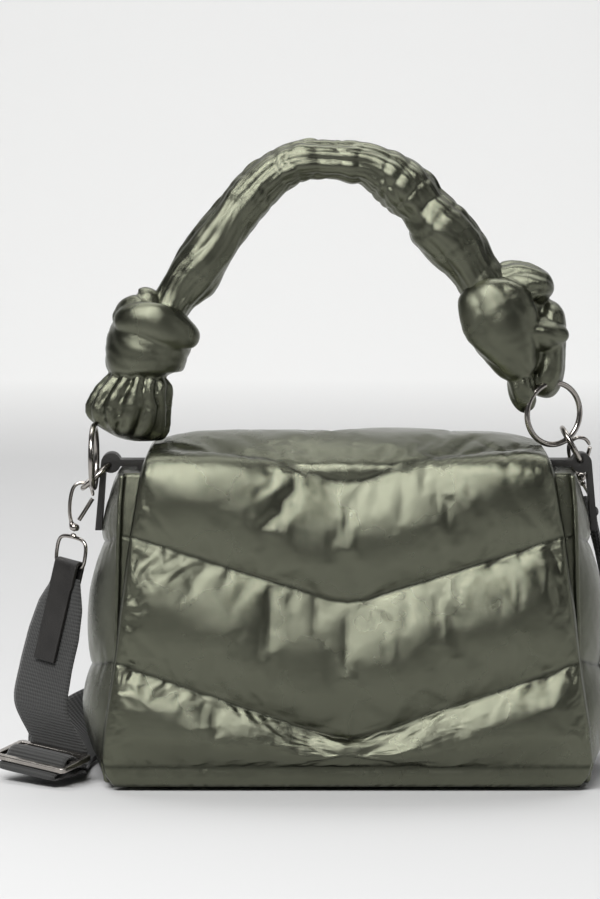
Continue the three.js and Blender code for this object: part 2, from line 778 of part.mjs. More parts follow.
// The strap loop's rounded outline as corner directions and the stem that turns in the barrel.
function loopTop() {
  return clipAxis().add(vec(0, 0, BARREL_OVERLAP - BARREL_LENGTH - STEM_LENGTH));
}

function buildLoop(side) {
  const top = loopTop();
  const half = LOOP_WIDTH / 2 - LOOP_WIRE;
  const high = -LOOP_WIRE;
  const low = -LOOP_HEIGHT + LOOP_WIRE;
  const corner = (sx, z, sz, round) => [
    vec(sx * half, 0, z - sz * round),
    vec(sx * (half - 0.3 * round), 0, z - sz * 0.3 * round),
    vec(sx * (half - round), 0, z),
  ];
  const points = [
    ...corner(1, high, 1, LOOP_ROUND),
    ...corner(-1, high, 1, LOOP_ROUND).reverse(),
    ...corner(-1, low, -1, LOOP_ROUND / 2),
    ...corner(1, low, -1, LOOP_ROUND / 2).reverse(),
  ];
  const wire = closedWire(points, LOOP_WIRE, 30);
  const root = LOOP_WIRE / 3;
  const length = STEM_LENGTH - SEAM_GAP + root;
  const stem = new THREE.CylinderGeometry(STEM_RADIUS, STEM_RADIUS * 1.3, length, 10);
  stem.rotateY(STEM_TWIST);
  stem.rotateX(Math.PI / 2);
  stem.translate(0, 0, length / 2 - root - LOOP_WIRE);
  const geometry = join([wire, stem]);
  geometry.rotateZ(CLIPS[side].loopTurn * DEGREE);
  geometry.translate(top.x, top.y, top.z + LOOP_WIRE);
  geometry.applyMatrix4(clipFrame(side));
  return geometry;
}

// Webbing and slider

// The slider's own directions: along its bars, across them towards the near bar, and down.
const SLIDER_CENTRE = vec(-157, -26, 13);
const SLIDER_TURN = -36;
const SLIDER_TILT = 10;
const SLIDER_DROP = 4;

function sliderFrame() {
  const frame = new THREE.Matrix4().makeRotationZ(SLIDER_TURN * DEGREE);
  frame.multiply(new THREE.Matrix4().makeRotationY(SLIDER_DROP * DEGREE));
  frame.multiply(new THREE.Matrix4().makeRotationX(Math.PI + SLIDER_TILT * DEGREE));
  return frame.setPosition(SLIDER_CENTRE);
}

function buildSlider() {
  const w = SLIDER_WIDTH / 2;
  const l = SLIDER_LENGTH / 2;
  const round = SLIDER_CORNER;
  const quarter = Math.PI / 2;
  const outline = [[w, -l, -1], [w, l, 0], [-w, l, 1], [-w, -l, 2]].flatMap(([x, y, turn]) => (
    arc(x - Math.sign(x) * round, y - Math.sign(y) * round, round, turn * quarter, (turn + 1) * quarter, 3)
  ));
  const slots = [-1, 1].map((side) => [
    [-w + SLIDER_BAR, side * SLIDER_BAR / 2],
    [w - SLIDER_BAR, side * SLIDER_BAR / 2],
    [w - SLIDER_BAR, side * (l - SLIDER_BAR)],
    [-w + SLIDER_BAR, side * (l - SLIDER_BAR)],
  ]);
  const geometry = plate(outline, slots, SLIDER_THICKNESS);
  geometry.translate(0, 0, -SLIDER_THICKNESS / 2);
  geometry.applyMatrix4(sliderFrame());
  return geometry;
}

// The middle of a strap loop's lower bar and the direction that the bar runs in.
function loopBar(side) {
  const frame = clipFrame(side);
  const middle = loopTop().add(vec(0, 0, 2 * LOOP_WIRE - LOOP_HEIGHT)).applyMatrix4(frame);
  const turn = CLIPS[side].loopTurn * DEGREE;
  const along = vec(Math.cos(turn), Math.sin(turn), 0).transformDirection(frame);
  return { middle, along };
}

const STRAP_LEAN = 19;
const WEBBING_START = 6;
const LOOP_GATHER = 0.42;

// The left strap end hangs from its loop with its own lean: along the bar, off the face, and down.
function strapEndFrame() {
  const { middle, along } = loopBar('left');
  const down = vec(-Math.sin(STRAP_LEAN * DEGREE), 0, -Math.cos(STRAP_LEAN * DEGREE));
  const off = vec(0, 0, 0).crossVectors(down, along).normalize();
  const straight = vec(0, 0, 0).crossVectors(along, off).normalize();
  return new THREE.Matrix4().makeBasis(along, off, straight).setPosition(middle);
}

// A leather strap folded over the bar: the front leg is the long tongue, the back leg is short.
function foldedLeather(width, frontLength, backLength) {
  const inner = LOOP_WIRE + SEAM_GAP;
  const outer = inner + TONGUE_LEATHER;
  const gap = WEBBING_THICKNESS / 2 + 2 * SEAM_GAP;
  const taper = WEBBING_START - 2;
  const outline = [
    ...arc(0, 0, outer, Math.PI, 2 * Math.PI, 10),
    [gap + TONGUE_LEATHER, taper],
    [gap + TONGUE_LEATHER, frontLength],
    [gap, frontLength],
    [gap, taper],
    ...arc(0, 0, inner, 2 * Math.PI, Math.PI, 8),
    [-gap, taper],
    [-gap, backLength],
    [-gap - TONGUE_LEATHER, backLength],
    [-gap - TONGUE_LEATHER, taper],
  ];
  const geometry = plate(outline, [], width);
  geometry.translate(0, 0, -width / 2);
  const turned = new THREE.Matrix4().makeBasis(vec(0, 1, 0), vec(0, 0, 1), vec(1, 0, 0));
  geometry.applyMatrix4(turned);
  return geometry;
}

function buildStrapEnd() {
  const fold = foldedLeather(TONGUE_WIDTH + 1, WEBBING_START + 6, WEBBING_START + 6);
  const tongue = foldedLeather(TONGUE_WIDTH, TONGUE_LENGTH, WEBBING_START + 20);
  const geometry = join([fold, tongue]);
  geometry.applyMatrix4(strapEndFrame());
  return geometry;
}

// The webbing's turns at the slider, in the slider's frame: towards the near bar, and up.
const SLIDER_WEAVE = [
  { near: -13.4, up: 3 },
  { near: -13.3, up: -0.4 },
  { near: -12.95, up: -2.35 },
  { near: -10.5, up: -2.6 },
  { near: -8.2, up: -2.4 },
  { near: -2.4, up: 2.4 },
  { near: 0, up: 2.7 },
  { near: 2.4, up: 2.4 },
  { near: 8.2, up: -2.4 },
  { near: 10.5, up: -2.6 },
  { near: 12.4, up: -2.9 },
  { near: 13.5, up: -4.1 },
  { near: 12.2, up: -5.2 },
  { near: 10, up: -5.4 },
  { near: 0, up: -7 },
  { near: -10.5, up: -8 },
];

// The second layer's end, sewn under the middle bar.
const SEWN_END = [
  { near: -12.5, up: -5.4 },
  { near: -7, up: -4.6 },
  { near: -2, up: -2.6 },
];

// The strap behind the bag, from the slider's far side to the right clip: places in shares of half the
// body's width and depth and of the webbing's own width, the direction of the webbing's width, and the share
// of that width where it is gathered towards the clip's loop.
const STRAP_ROUTE = [
  { x: -1.13, y: -0.1, z: 0.185, w: [0.79, -0.55, -0.12] },
  { x: -1.125, y: 0.26, z: 0.34, w: [0.8, -0.25, -0.52] },
  { x: -1.07, y: 0.86, z: 0.4, w: [0.7, -0.3, -0.62] },
  { x: -0.95, y: 1.22, z: 0.51, w: [0.3, -0.15, -0.9] },
  { x: -0.8, y: 1.29, z: 0.54, w: [0.04, 0, -1] },
  { x: -0.3, y: 1.33, z: 0.54, w: [0, 0, -1] },
  { x: 0.3, y: 1.33, z: 0.54, w: [0, 0, -1] },
  { x: 0.8, y: 1.29, z: 0.54, w: [0, 0, -1] },
  { x: 0.95, y: 1.16, z: 0.6, w: [0.05, -0.4, -0.92] },
  { x: 1.04, y: 0.86, z: 0.9, w: [0.05, -0.8, -0.6] },
  { x: 1.06, y: 0.7, z: 1.5, w: [0.08, -0.96, -0.25] },
  { x: 1.035, y: 0.66, z: 2.3, w: [0.05, -0.94, -0.33], width: 0.92 },
  { x: 1.0, y: 0.6, z: 2.95, w: [0.02, -0.91, -0.41], width: 0.6 },
];

function sliderStation(row, slider, bars) {
  return { place: vec(0, row.near, -row.up).applyMatrix4(slider), across: bars };
}

function routePlace(row) {
  return vec(row.x * BODY_WIDTH / 2, row.y * BODY_DEPTH / 2, row.z * WEBBING_WIDTH);
}

// The webbing is gathered into the leather end: how far down the tongue, and the share of its width.
const GATHER = [
  { down: 0, width: 0.5 },
  { down: 0.12, width: 0.62 },
  { down: 0.3, width: 0.84 },
  { down: 0.6, width: 0.97 },
  { down: 1, width: 1 },
];

// How far the hanging webbing bows off the straight way from the leather end to the slider.
const HANG_BOW = vec(-5.4, -0.5, 0);

// Places and width directions of the webbing from its left end to the right clip's loop.
function outwardStations() {
  const end = strapEndFrame();
  const along = vec(1, 0, 0).transformDirection(end);
  const stations = GATHER.map(({ down, width }) => (
    { place: vec(0, 0, WEBBING_START + down * TONGUE_LENGTH).applyMatrix4(end), across: along, width }
  ));
  const slider = sliderFrame();
  const bars = vec(1, 0, 0).transformDirection(slider);
  const weave = SLIDER_WEAVE.map((row) => sliderStation(row, slider, bars));
  const hang = stations[stations.length - 1].place;
  const entry = weave[0].place;
  stations.push({
    place: hang.clone().lerp(entry, 0.5).add(HANG_BOW),
    across: along.clone().add(bars),
  });
  stations.push(...weave);
  for (const row of STRAP_ROUTE) {
    stations.push({ place: routePlace(row), across: vec(...row.w), width: row.width });
  }
  return stations;
}

// Samples the stations as a smooth strip.
function stripSamples(stations, step) {
  const path = new THREE.CatmullRomCurve3(stations.map((s) => s.place), false, 'centripetal');
  const directions = stations.map((s) => s.across.clone().normalize());
  const widths = new THREE.CatmullRomCurve3(directions, false, 'centripetal');
  const samples = [];
  for (let i = 0; i < stations.length - 1; i += 1) {
    const span = stations[i].place.distanceTo(stations[i + 1].place);
    const count = Math.max(1, Math.round(span / step));
    for (let k = 0; k < count; k += 1) samples.push(i + k / count);
  }
  samples.push(stations.length - 1);
  return samples.map((station) => {
    const at = station / (stations.length - 1);
    const run = path.getTangent(at);
    const across = widths.getPoint(at).normalize();
    const low = stations[Math.floor(station)].width ?? 1;
    const high = stations[Math.min(Math.ceil(station), stations.length - 1)].width ?? 1;
    const width = lerp(low, high, station % 1);
    const off = vec(0, 0, 0).crossVectors(run, across).normalize();
    return { station, place: path.getPoint(at), across, off, width };
  });
}

function stripSolid(samples, fullWidth, thickness) {
  const corners = [[1, 1], [-1, 1], [-1, -1], [1, -1]];
  const rings = samples.map(({ place, across, off, width }) => corners.map(([w, t]) => (
    place.clone().addScaledVector(across, w * width * fullWidth / 2).addScaledVector(off, t * thickness / 2)
  )));
  return loft(rings, 'strips');
}

// Degrees round the right loop's lower bar, from the layer that arrives to the one that leaves
const LOOP_TURN = [-55, -20, 15, 52, 90, 128, 165, 200, 235];

// One length of webbing: out to the right loop, round its bar, and back as a second layer to the slider.
function buildWebbing() {
  const out = outwardStations();
  const bar = loopBar('right');
  const along = bar.along.clone().multiplyScalar(-1);
  const last = out[out.length - 1].place;
  const up = bar.middle.clone().sub(last);
  up.addScaledVector(along, -up.dot(along)).normalize();
  const off = vec(0, 0, 0).crossVectors(up, along).normalize();
  const reach = LOOP_WIRE + 2 * SEAM_GAP + WEBBING_THICKNESS / 2;
  const turned = LOOP_TURN.map((degrees) => {
    const turn = degrees * DEGREE;
    const place = bar.middle.clone()
      .addScaledVector(off, Math.cos(turn) * reach)
      .addScaledVector(up, Math.sin(turn) * reach);
    return { place, across: along, width: LOOP_GATHER };
  });
  const firstBack = out.length - STRAP_ROUTE.length;
  const inner = stripSamples(out, STRIP_STEP * 3).filter((sample) => sample.station >= firstBack);
  const outer = inner.map((sample) => (
    { ...sample, place: sample.place.clone().addScaledVector(sample.off, LAYER_PITCH) }
  ));
  const slider = sliderFrame();
  const bars = vec(1, 0, 0).transformDirection(slider);
  const sewn = SEWN_END.map((row) => sliderStation(row, slider, bars));
  const stations = [...out.slice(0, firstBack), ...outer, ...turned, ...inner.reverse(), ...sewn];
  return stripSolid(stripSamples(stations, STRIP_STEP), WEBBING_WIDTH, WEBBING_THICKNESS);
}

addPiece('body_shell', buildBody(), OLIVE);
addPiece('flap', buildFlap(), OLIVE);
addPiece('handle_arch', cut(buildArch(), [
  buildKnotPiece(LEFT_BAND, -1, 2 * SEAM_GAP),
  buildKnotPiece(RIGHT_BAND, 1, 2 * SEAM_GAP),
]), OLIVE);
const PASSAGE = HANDLE_RING_WIRE + WIRE_PASSAGE;
const ENDS = [
  { side: 'left', sign: -1, band: LEFT_BAND, tail: LEFT_TAIL },
  { side: 'right', sign: 1, band: RIGHT_BAND, tail: RIGHT_TAIL },
];
for (const { side, sign, band, tail } of ENDS) {
  const passage = ringSolid(handleRingFrame(side), HANDLE_RING_RADIUS, PASSAGE);
  addPiece(`knot_${side}_band`, buildKnotPiece(band, sign), OLIVE);
  addPiece(`knot_${side}_tail`, cut(buildKnotPiece(tail, sign), [passage]), OLIVE);
  const handleRing = ringSolid(handleRingFrame(side), HANDLE_RING_RADIUS, HANDLE_RING_WIRE);
  addPiece(`handle_ring_${side}`, handleRing, METAL);
  addPiece(`tab_${side}`, buildTab(side), LEATHER);
  addPiece(`tab_ring_${side}`, ringSolid(tabRingFrame(side), TAB_RING_RADIUS, TAB_RING_WIRE), METAL);
  addPiece(`clip_hook_${side}`, buildHook(side), METAL);
  addPiece(`clip_gate_${side}`, buildGate(side), METAL);
  addPiece(`clip_loop_${side}`, buildLoop(side), METAL);
}
addPiece('strap_end_left', buildStrapEnd(), LEATHER);
addPiece('slider', buildSlider(), METAL);
addPiece('webbing', buildWebbing(), WEBBING);

export default bag;
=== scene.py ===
"""Builds a quilted puffer handbag over its solid frame: surfaces, materials, light and camera.

Lengths in the tables are millimetres in the frame's axes: +Z up, the flap's front towards -Y.
"""

import json
import logging
import math
from collections.abc import Sequence
from dataclasses import dataclass
from enum import Enum

import bmesh
import bpy
import numpy as np
from mathutils import Matrix, Vector

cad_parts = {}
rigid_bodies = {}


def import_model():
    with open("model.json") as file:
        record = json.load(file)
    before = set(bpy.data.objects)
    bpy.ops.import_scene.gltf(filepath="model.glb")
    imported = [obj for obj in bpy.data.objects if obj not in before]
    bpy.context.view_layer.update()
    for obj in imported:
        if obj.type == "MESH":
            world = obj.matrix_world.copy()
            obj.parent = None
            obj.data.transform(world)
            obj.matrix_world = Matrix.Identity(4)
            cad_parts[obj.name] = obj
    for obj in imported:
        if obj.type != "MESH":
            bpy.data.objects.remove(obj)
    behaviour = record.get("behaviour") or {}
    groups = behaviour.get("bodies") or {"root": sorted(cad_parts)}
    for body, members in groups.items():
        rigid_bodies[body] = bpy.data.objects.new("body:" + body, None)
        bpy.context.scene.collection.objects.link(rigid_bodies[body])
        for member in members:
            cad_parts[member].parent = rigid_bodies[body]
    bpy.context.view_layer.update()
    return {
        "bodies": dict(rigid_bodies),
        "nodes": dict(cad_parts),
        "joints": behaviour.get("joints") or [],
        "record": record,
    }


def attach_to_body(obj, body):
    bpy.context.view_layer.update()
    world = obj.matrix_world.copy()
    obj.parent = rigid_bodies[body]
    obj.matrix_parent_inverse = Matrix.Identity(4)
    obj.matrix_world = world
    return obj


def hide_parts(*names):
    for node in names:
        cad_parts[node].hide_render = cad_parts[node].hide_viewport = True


LOG = logging.getLogger("handbag")
MM = 0.001
BAG = "bag"

# Metres within which two points of a mesh are one.
MERGE_DISTANCE = 2e-6
NODE_MERGE_DISTANCE = 1e-5

# Faces that meet below the first angle are flat, and those above the second form an edge to round.
FLAT_ANGLE = math.radians(2)
EDGE_ANGLE = math.radians(32)

# Two knots of a curve whose spacing is below this are taken as one step apart.
NO_STEP = 1e-4

# Distance, in millimetres, that stands for a point with no seam near it.
FAR_FROM_SEAM = 40.0

Grid = np.ndarray
Colour = tuple[float, float, float, float]


class Slot(Enum):
    """The record's material slots."""

    NYLON = "quilted_nylon"
    LEATHER = "leather"
    METAL = "gunmetal"
    WEBBING = "webbing"


class Side(Enum):
    """The bag's two ends, each with the sign of its X."""

    LEFT = -1
    RIGHT = 1

    @property
    def word(self) -> str:
        """The side's name as it stands in the frame's node names."""
        return self.name.lower()


@dataclass(frozen=True)
class BodySizes:
    """Main sizes of the quilted body, in millimetres."""

    width: float = 266
    depth: float = 92
    rim: float = 161
    wall: float = 8
    base: float = 9
    crown: float = 2
    back_puff: float = 4
    front_puff: float = 1
    gusset_puff: float = 4.5
    hem: float = 13
    low_seam: float = 66
    low_drop: float = 40
    high_seam: float = 130
    high_drop: float = 34
    gusset_drop: float = 8


@dataclass(frozen=True)
class FlapSizes:
    """Main sizes of the flap in millimetres, its number of columns, and the share of its width that each
    chevron's point is rounded over.
    """

    width: float = 248
    seam_thickness: float = 4
    edge_thickness: float = 3
    lift: float = 7
    puff: float = 8
    top_run: float = 26
    top_drop: float = 5
    clearance: float = 0.35
    columns: int = 144
    chevron_round: float = 0.035
    side_bulge: float = 0.9
    end_bulge: float = 0.8
    least_padding: float = 2.2


@dataclass(frozen=True)
class HandleSizes:
    """Main sizes of the padded handle and the depths of its folds, in millimetres."""

    half_span: float = 88
    top: float = 319
    girth: float = 25
    steps: int = 230
    sides: int = 96
    wide_folds: float = 0.9
    narrow_folds: float = 0.45
    gathers: float = 0.75
    softness: float = 0.6


BODY = BodySizes()
FLAP = FlapSizes()
HANDLE = HandleSizes()

# The arch's scrunched stretches: share of its length, spread in millimetres, and strength.
ARCH_SCRUNCHES = ((0.42, 26, 1.0), (0.68, 34, 1.1))
ARCH_LEAST_SCRUNCH = 0.3

# Height share of the rim, then shares of half the width at the front corner, half the width at the gusset's
# middle, and half the depth.
BODY_SECTIONS = np.array([
    (0, 0.895, 0.915, 0.89),
    (0.025, 0.92, 0.96, 0.95),
    (0.08, 0.93, 0.985, 1),
    (0.24, 0.91, 1, 1),
    (0.41, 0.88, 0.99, 0.98),
    (0.6, 0.875, 0.97, 0.96),
    (0.79, 0.87, 0.935, 0.93),
    (0.9, 0.865, 0.893, 0.89),
    (1, 0.855, 0.872, 0.85),
])

# The flap's underside: share of half the body's depth, share of the rim's height, share of the flap's lift.
FLAP_PROFILE = np.array([
    (-1.06, 0.019, 0),
    (-1.09, 0.081, 0),
    (-1.105, 0.24, 0),
    (-1.09, 0.41, 0),
    (-1.065, 0.62, 0),
    (-1.035, 0.81, 0),
    (-1.005, 0.94, 0),
    (-0.975, 1, 0),
    (-0.91, 1, 0.5),
    (-0.7, 1, 0.8),
    (-0.35, 1, 1),
    (0.15, 1, 1),
    (0.5, 1, 0.9),
    (0.68, 1, 0.55),
    (0.74, 1, 0.05),
])

# Height share of the rim, and the flap's half-width there as a share of half its width.
FLAP_EDGES = np.array([
    (0.019, 0.955),
    (0.05, 0.985),
    (0.1, 1),
    (0.2, 0.99),
    (0.41, 0.945),
    (0.56, 0.925),
    (0.81, 0.88),
    (1, 0.84),
    (1.05, 0.815),
])

# Rows of the flap's channels from the hem to the back, and each one's share of the full puff.
FLAP_CHANNELS = ((5, 0.15), (52, 1.0), (48, 1.0), (36, 0.95), (52, 0.55))

# The handle's arch: place along the half span, height share, girth share and lean in degrees.
ARCH_SECTIONS = np.array([
    (-1.11, 0.738, 0.96, 88),
    (-1.045, 0.762, 0.98, 86),
    (-0.985, 0.781, 0.94, 72),
    (-0.9, 0.812, 1.05, 62),
    (-0.8, 0.855, 1.0, 56),
    (-0.68, 0.902, 0.92, 48),
    (-0.545, 0.947, 0.94, 40),
    (-0.41, 0.98, 0.86, 26),
    (-0.27, 0.998, 0.84, 10),
    (-0.1, 1, 0.8, 0),
    (0.03, 0.997, 0.86, -5),
    (0.13, 0.992, 0.84, -18),
    (0.26, 0.972, 1.04, -32),
    (0.37, 0.948, 1.1, -44),
    (0.45, 0.925, 1.0, -52),
    (0.55, 0.89, 1.22, -58),
    (0.65, 0.856, 1.2, -60),
    (0.735, 0.828, 1.0, -56),
    (0.82, 0.797, 1.0, -50),
    (0.9, 0.765, 0.9, -48),
])

# The webbing is gathered into its leather end: how far down the tongue, and the share of its width.
GATHER = np.array([
    (0, 0.5),
    (0.12, 0.62),
    (0.3, 0.84),
    (0.6, 0.97),
    (1, 1),
])

# The webbing's turns at the slider, from the slider's middle: towards the near bar, and up.
SLIDER_WEAVE = (
    (-13.4, 3), (-13.3, -0.4), (-12.95, -2.35), (-10.5, -2.6),
    (-8.2, -2.4), (-2.4, 2.4), (0, 2.7), (2.4, 2.4),
    (8.2, -2.4), (10.5, -2.6), (12.4, -2.9), (13.5, -4.1),
    (12.2, -5.2), (10, -5.4), (0, -7), (-10.5, -8),
)

# The second layer's end, sewn under the slider's middle bar.
SEWN_END = ((-12.5, -5.4), (-7, -4.6), (-2, -2.6))

# The strap behind the bag, from the slider to the right clip: a place in shares of half the body's width and
# depth and of the webbing's width, the direction of the webbing's width, and the share of its full width.
STRAP_ROUTE = np.array([
    (-1.13, -0.1, 0.185, 0.79, -0.55, -0.12, 1),
    (-1.125, 0.26, 0.34, 0.8, -0.25, -0.52, 1),
    (-1.07, 0.86, 0.4, 0.7, -0.3, -0.62, 1),
    (-0.95, 1.22, 0.51, 0.3, -0.15, -0.9, 1),
    (-0.8, 1.29, 0.54, 0.04, 0, -1, 1),
    (-0.3, 1.33, 0.54, 0, 0, -1, 1),
    (0.3, 1.33, 0.54, 0, 0, -1, 1),
    (0.8, 1.29, 0.54, 0, 0, -1, 1),
    (0.95, 1.16, 0.6, 0.05, -0.4, -0.92, 1),
    (1.04, 0.86, 0.9, 0.05, -0.8, -0.6, 1),
    (1.06, 0.7, 1.5, 0.08, -0.96, -0.25, 1),
    (1.035, 0.66, 2.3, 0.05, -0.94, -0.33, 0.92),
    (1, 0.6, 2.95, 0.02, -0.91, -0.41, 0.6),
])

# Degrees round the right loop's lower bar, from the layer that arrives to the one that leaves.
LOOP_TURN = (-55, -20, 15, 52, 90, 128, 165, 200, 235)


@dataclass(frozen=True)
class StrapSizes:
    """Sizes of the webbing and how it hangs, in millimetres and degrees."""

    width: float = 38
    thickness: float = 1.6
    layer_pitch: float = 2.6
    start: float = 6
    tongue: float = 51
    lean: float = 19
    bow: tuple[float, float, float] = (-5.4, -0.5, 0)
    loop_gather: float = 0.42
    loop_reach: float = 2.7
    slider_centre: tuple[float, float, float] = (-157, -26, 13)
    slider_turn: float = -36
    slider_drop: float = 4
    slider_tilt: float = 190
    route_step: float = 27
    step: float = 1.3
    columns: int = 17
    pleat: float = 1.1
    edge_thinning: float = 0.45


@dataclass(frozen=True)
class Ring:
    """A round wire ring: its middle and the two directions of its plane, in millimetres."""

    node: str
    centre: tuple[float, float, float]
    across: tuple[float, float, float]
    upward: tuple[float, float, float]
    radius: float
    wire: float


RING_SEGMENTS = 96
WIRE_SIDES = 20
RINGS = (
    Ring("handle_ring_left", (-130.437, -8, 166.521), (0.0349, 0.9994, 0), (0, 0, 1), 16, 1.5),
    Ring("handle_ring_right", (107.042, -4, 188.527), (0.8829, 0.4695, 0), (0, 0, 1), 16, 1.5),
    Ring("tab_ring_left", (-129.237, 0, 156.221), (-0.7413, 0, -0.6712), (0, 1, 0), 10.1, 1.4),
    Ring("tab_ring_right", (116.842, 0, 171.827), (-0.486, 0, 0.874), (0, 1, 0), 10.1, 1.4),
)


@dataclass(frozen=True)
class Clip:
    """How a strap clip hangs from its tab ring: turns in degrees and shifts in millimetres."""

    ring: Ring
    loop_turn: float
    lean: float
    ring_turn: float = 0
    back: float = 0
    spin: float = 0
    shift: float = 0
    lift: float = 0


LEFT_CLIP = Clip(RINGS[2], loop_turn=-42, lean=8)
RIGHT_CLIP = Clip(
    RINGS[3], loop_turn=97.55, lean=-12, ring_turn=120.25, back=26.8, spin=7.95, shift=2.4, lift=5.35
)

# The middle of a clip's lower bar, from the place where the clip hangs on its ring, in the clip's own
# directions.
LOOP_BAR = (-1.56, 0, -41.1)


@dataclass(frozen=True)
class Strand:
    """One padded strand of a knot.

    Each row holds a place, the strand's width and thickness, and the turn of its width off +X in degrees.
    """

    rows: tuple[tuple[float, float, float, float, float, float], ...]
    folds: int = 6
    depth: float = 0.07
    twist: float = 0.6


LEFT_KNOT = (
    Strand(((-92, 0, 245, 25, 25, 0), (-97, 0, 237, 39, 34, -8), (-102, 0, 225, 43, 40, -5),
            (-105, 0, 213, 40, 38, 0), (-105, 0, 205, 31, 30, 0)), folds=5, depth=0.025, twist=0.9),
    Strand(((-118, -4, 236, 12, 14, 60), (-108, -14, 238, 17, 12, 80), (-96, -17, 236, 20, 11, 95),
            (-84, -10, 231, 18, 12, 110), (-79, 0, 226, 10, 12, 120)), folds=4, depth=0.04, twist=0.3),
    Strand(((-96, -3, 250, 9, 15, 40), (-102, -5, 245, 14, 19, 40), (-111, -4, 238, 16, 20, 40),
            (-117, -2, 231, 12, 16, 40)), folds=4, depth=0.06),
    Strand(((-104, 0, 211, 26, 26, 0), (-106, -1, 203, 33, 31, 0), (-111, -1, 192, 41, 33, 8),
            (-114.5, -1, 183, 41, 29, 8), (-117, -1, 175.5, 25, 18, 0)), folds=13, depth=0.15, twist=0.3),
)

RIGHT_KNOT = (
    Strand(((74, -4, 258, 24, 18, 30), (75, -9, 248, 36, 22, 30), (80, -11, 234, 38, 22, 35),
            (86, -9, 219, 27, 20, 40), (91, -5, 206, 17, 17, 40)), folds=5, depth=0.06, twist=0.5),
    Strand(((76, 4, 258, 16, 20, 70), (88, 2, 257, 20, 24, 80), (99, 0, 254, 18, 24, 90),
            (107, -1, 252, 11, 14, 90)), folds=8, depth=0.12, twist=0.6),
    Strand(((84, 4, 233, 14, 26, 90), (96, -2, 231, 19, 28, 90), (106, -1, 229, 16, 24, 90),
            (110, 2, 227, 8, 14, 90)), folds=5, depth=0.05, twist=0.3),
    Strand(((104, 4, 247, 12, 22, 0), (106, 4, 236, 15, 26, 0), (106, 4, 221, 15, 26, 0),
            (104, 3, 208, 17, 24, 0), (98, 0, 198, 18, 18, 0)), folds=6, depth=0.06, twist=0.4),
    Strand(((84, 5, 256, 26, 22, 0), (88, 6, 240, 36, 28, 0), (93, 6, 222, 30, 28, 0),
            (95, 3, 207, 22, 24, 0)), folds=5, depth=0.04),
    Strand(((90, -5, 212, 13, 14, 20), (90, -7, 204, 14, 15, 20), (92, -6, 196, 13, 13, 20),
            (96, -3, 192.5, 9, 9, 20)), folds=6, depth=0.1),
)


def catmull_rom(rows: Grid, at: Grid) -> Grid:
    """Reads a smooth curve through a table's rows.

    Args:
        rows: One row per knot of the curve.
        at: Places along it, from 0 at the first row to the number of rows less one.

    Returns:
        One row for each place. Each is the usual uniform cubic blend of the four knots around it.
    """
    padded = np.vstack([2 * rows[0] - rows[1], rows, 2 * rows[-1] - rows[-2]])
    low = np.clip(np.floor(at).astype(int), 0, len(rows) - 2)
    t = (at - low)[:, None]
    before, start, end, after = (padded[low + shift] for shift in range(4))
    return 0.5 * (
        2 * start
        + (end - before) * t
        + (2 * before - 5 * start + 4 * end - after) * t**2
        + (3 * start - before - 3 * end + after) * t**3
    )


def even_curve(rows: Grid, count: int) -> Grid:
    """Samples a table's curve at even distances between its first three columns.

    Args:
        rows: The table, with a place in its first three columns.
        count: How many samples.

    Returns:
        The samples, with all of the table's columns.
    """
    fine = catmull_rom(rows, np.linspace(0, len(rows) - 1, 40 * len(rows)))
    run = np.concatenate([[0], np.cumsum(np.linalg.norm(np.diff(fine[:, :3], axis=0), axis=1))])
    return np.stack([np.interp(np.linspace(0, run[-1], count), run, column) for column in fine.T], axis=1)


def centripetal(rows: Grid, at: Grid, steps: Grid | None = None) -> Grid:
    """Reads a smooth curve through rows, with its knots spaced by the square roots of the steps between them.

    Args:
        rows: One row per knot of the curve.
        at: Places along it, from 0 at the first row to the number of rows less one.
        steps: The steps between rows. Left out, they are the rows' own distances.

    Returns:
        One row for each place.
    """
    if steps is None:
        steps = np.linalg.norm(np.diff(rows, axis=0), axis=1)
    low = np.clip(np.floor(at).astype(int), 0, len(rows) - 2)
    t = (at - low)[:, None]
    padded = np.vstack([2 * rows[0] - rows[1], rows, 2 * rows[-1] - rows[-2]])
    gaps = np.sqrt(np.concatenate([steps[:1], steps, steps[-1:]]))[:, None]
    span = np.where(gaps[low + 1] < NO_STEP, 1, gaps[low + 1])
    first, last = (np.where(gaps[low + shift] < NO_STEP, span, gaps[low + shift]) for shift in (0, 2))
    before, start, end, after = (padded[low + shift] for shift in range(4))
    leave = span * ((start - before) / first - (end - before) / (first + span)) + end - start
    arrive = span * ((after - end) / last - (after - start) / (span + last)) + end - start
    return (
        start * (2 * t**3 - 3 * t**2 + 1)
        + end * (3 * t**2 - 2 * t**3)
        + leave * (t**3 - 2 * t**2 + t)
        + arrive * (t**3 - t**2)
    )


def stations_along(places: Grid, step: float, least: int = 1) -> Grid:
    """Numbers along a list of places, about a step apart, with at least so many from each to the next."""
    spans = np.linalg.norm(np.diff(places, axis=0), axis=1)
    counts = np.maximum(least, np.floor(spans / step + 0.5)).astype(int)
    between = [number + np.arange(count) / count for number, count in enumerate(counts)]
    return np.concatenate(between + [[len(spans)]])


def table_read(table: Grid, column: int, at: Grid) -> Grid:
    """Reads one column of a table by its first column, with straight lines between rows."""
    return np.interp(at, table[:, 0], table[:, column])


def turned(axis: str, degrees: float) -> Grid:
    """The matrix of a turn round one axis."""
    return np.array(Matrix.Rotation(math.radians(degrees), 3, axis))


def unit(vectors: Grid) -> Grid:
    """Scales each vector to length one."""
    return vectors / np.maximum(np.linalg.norm(vectors, axis=-1, keepdims=True), 1e-9)


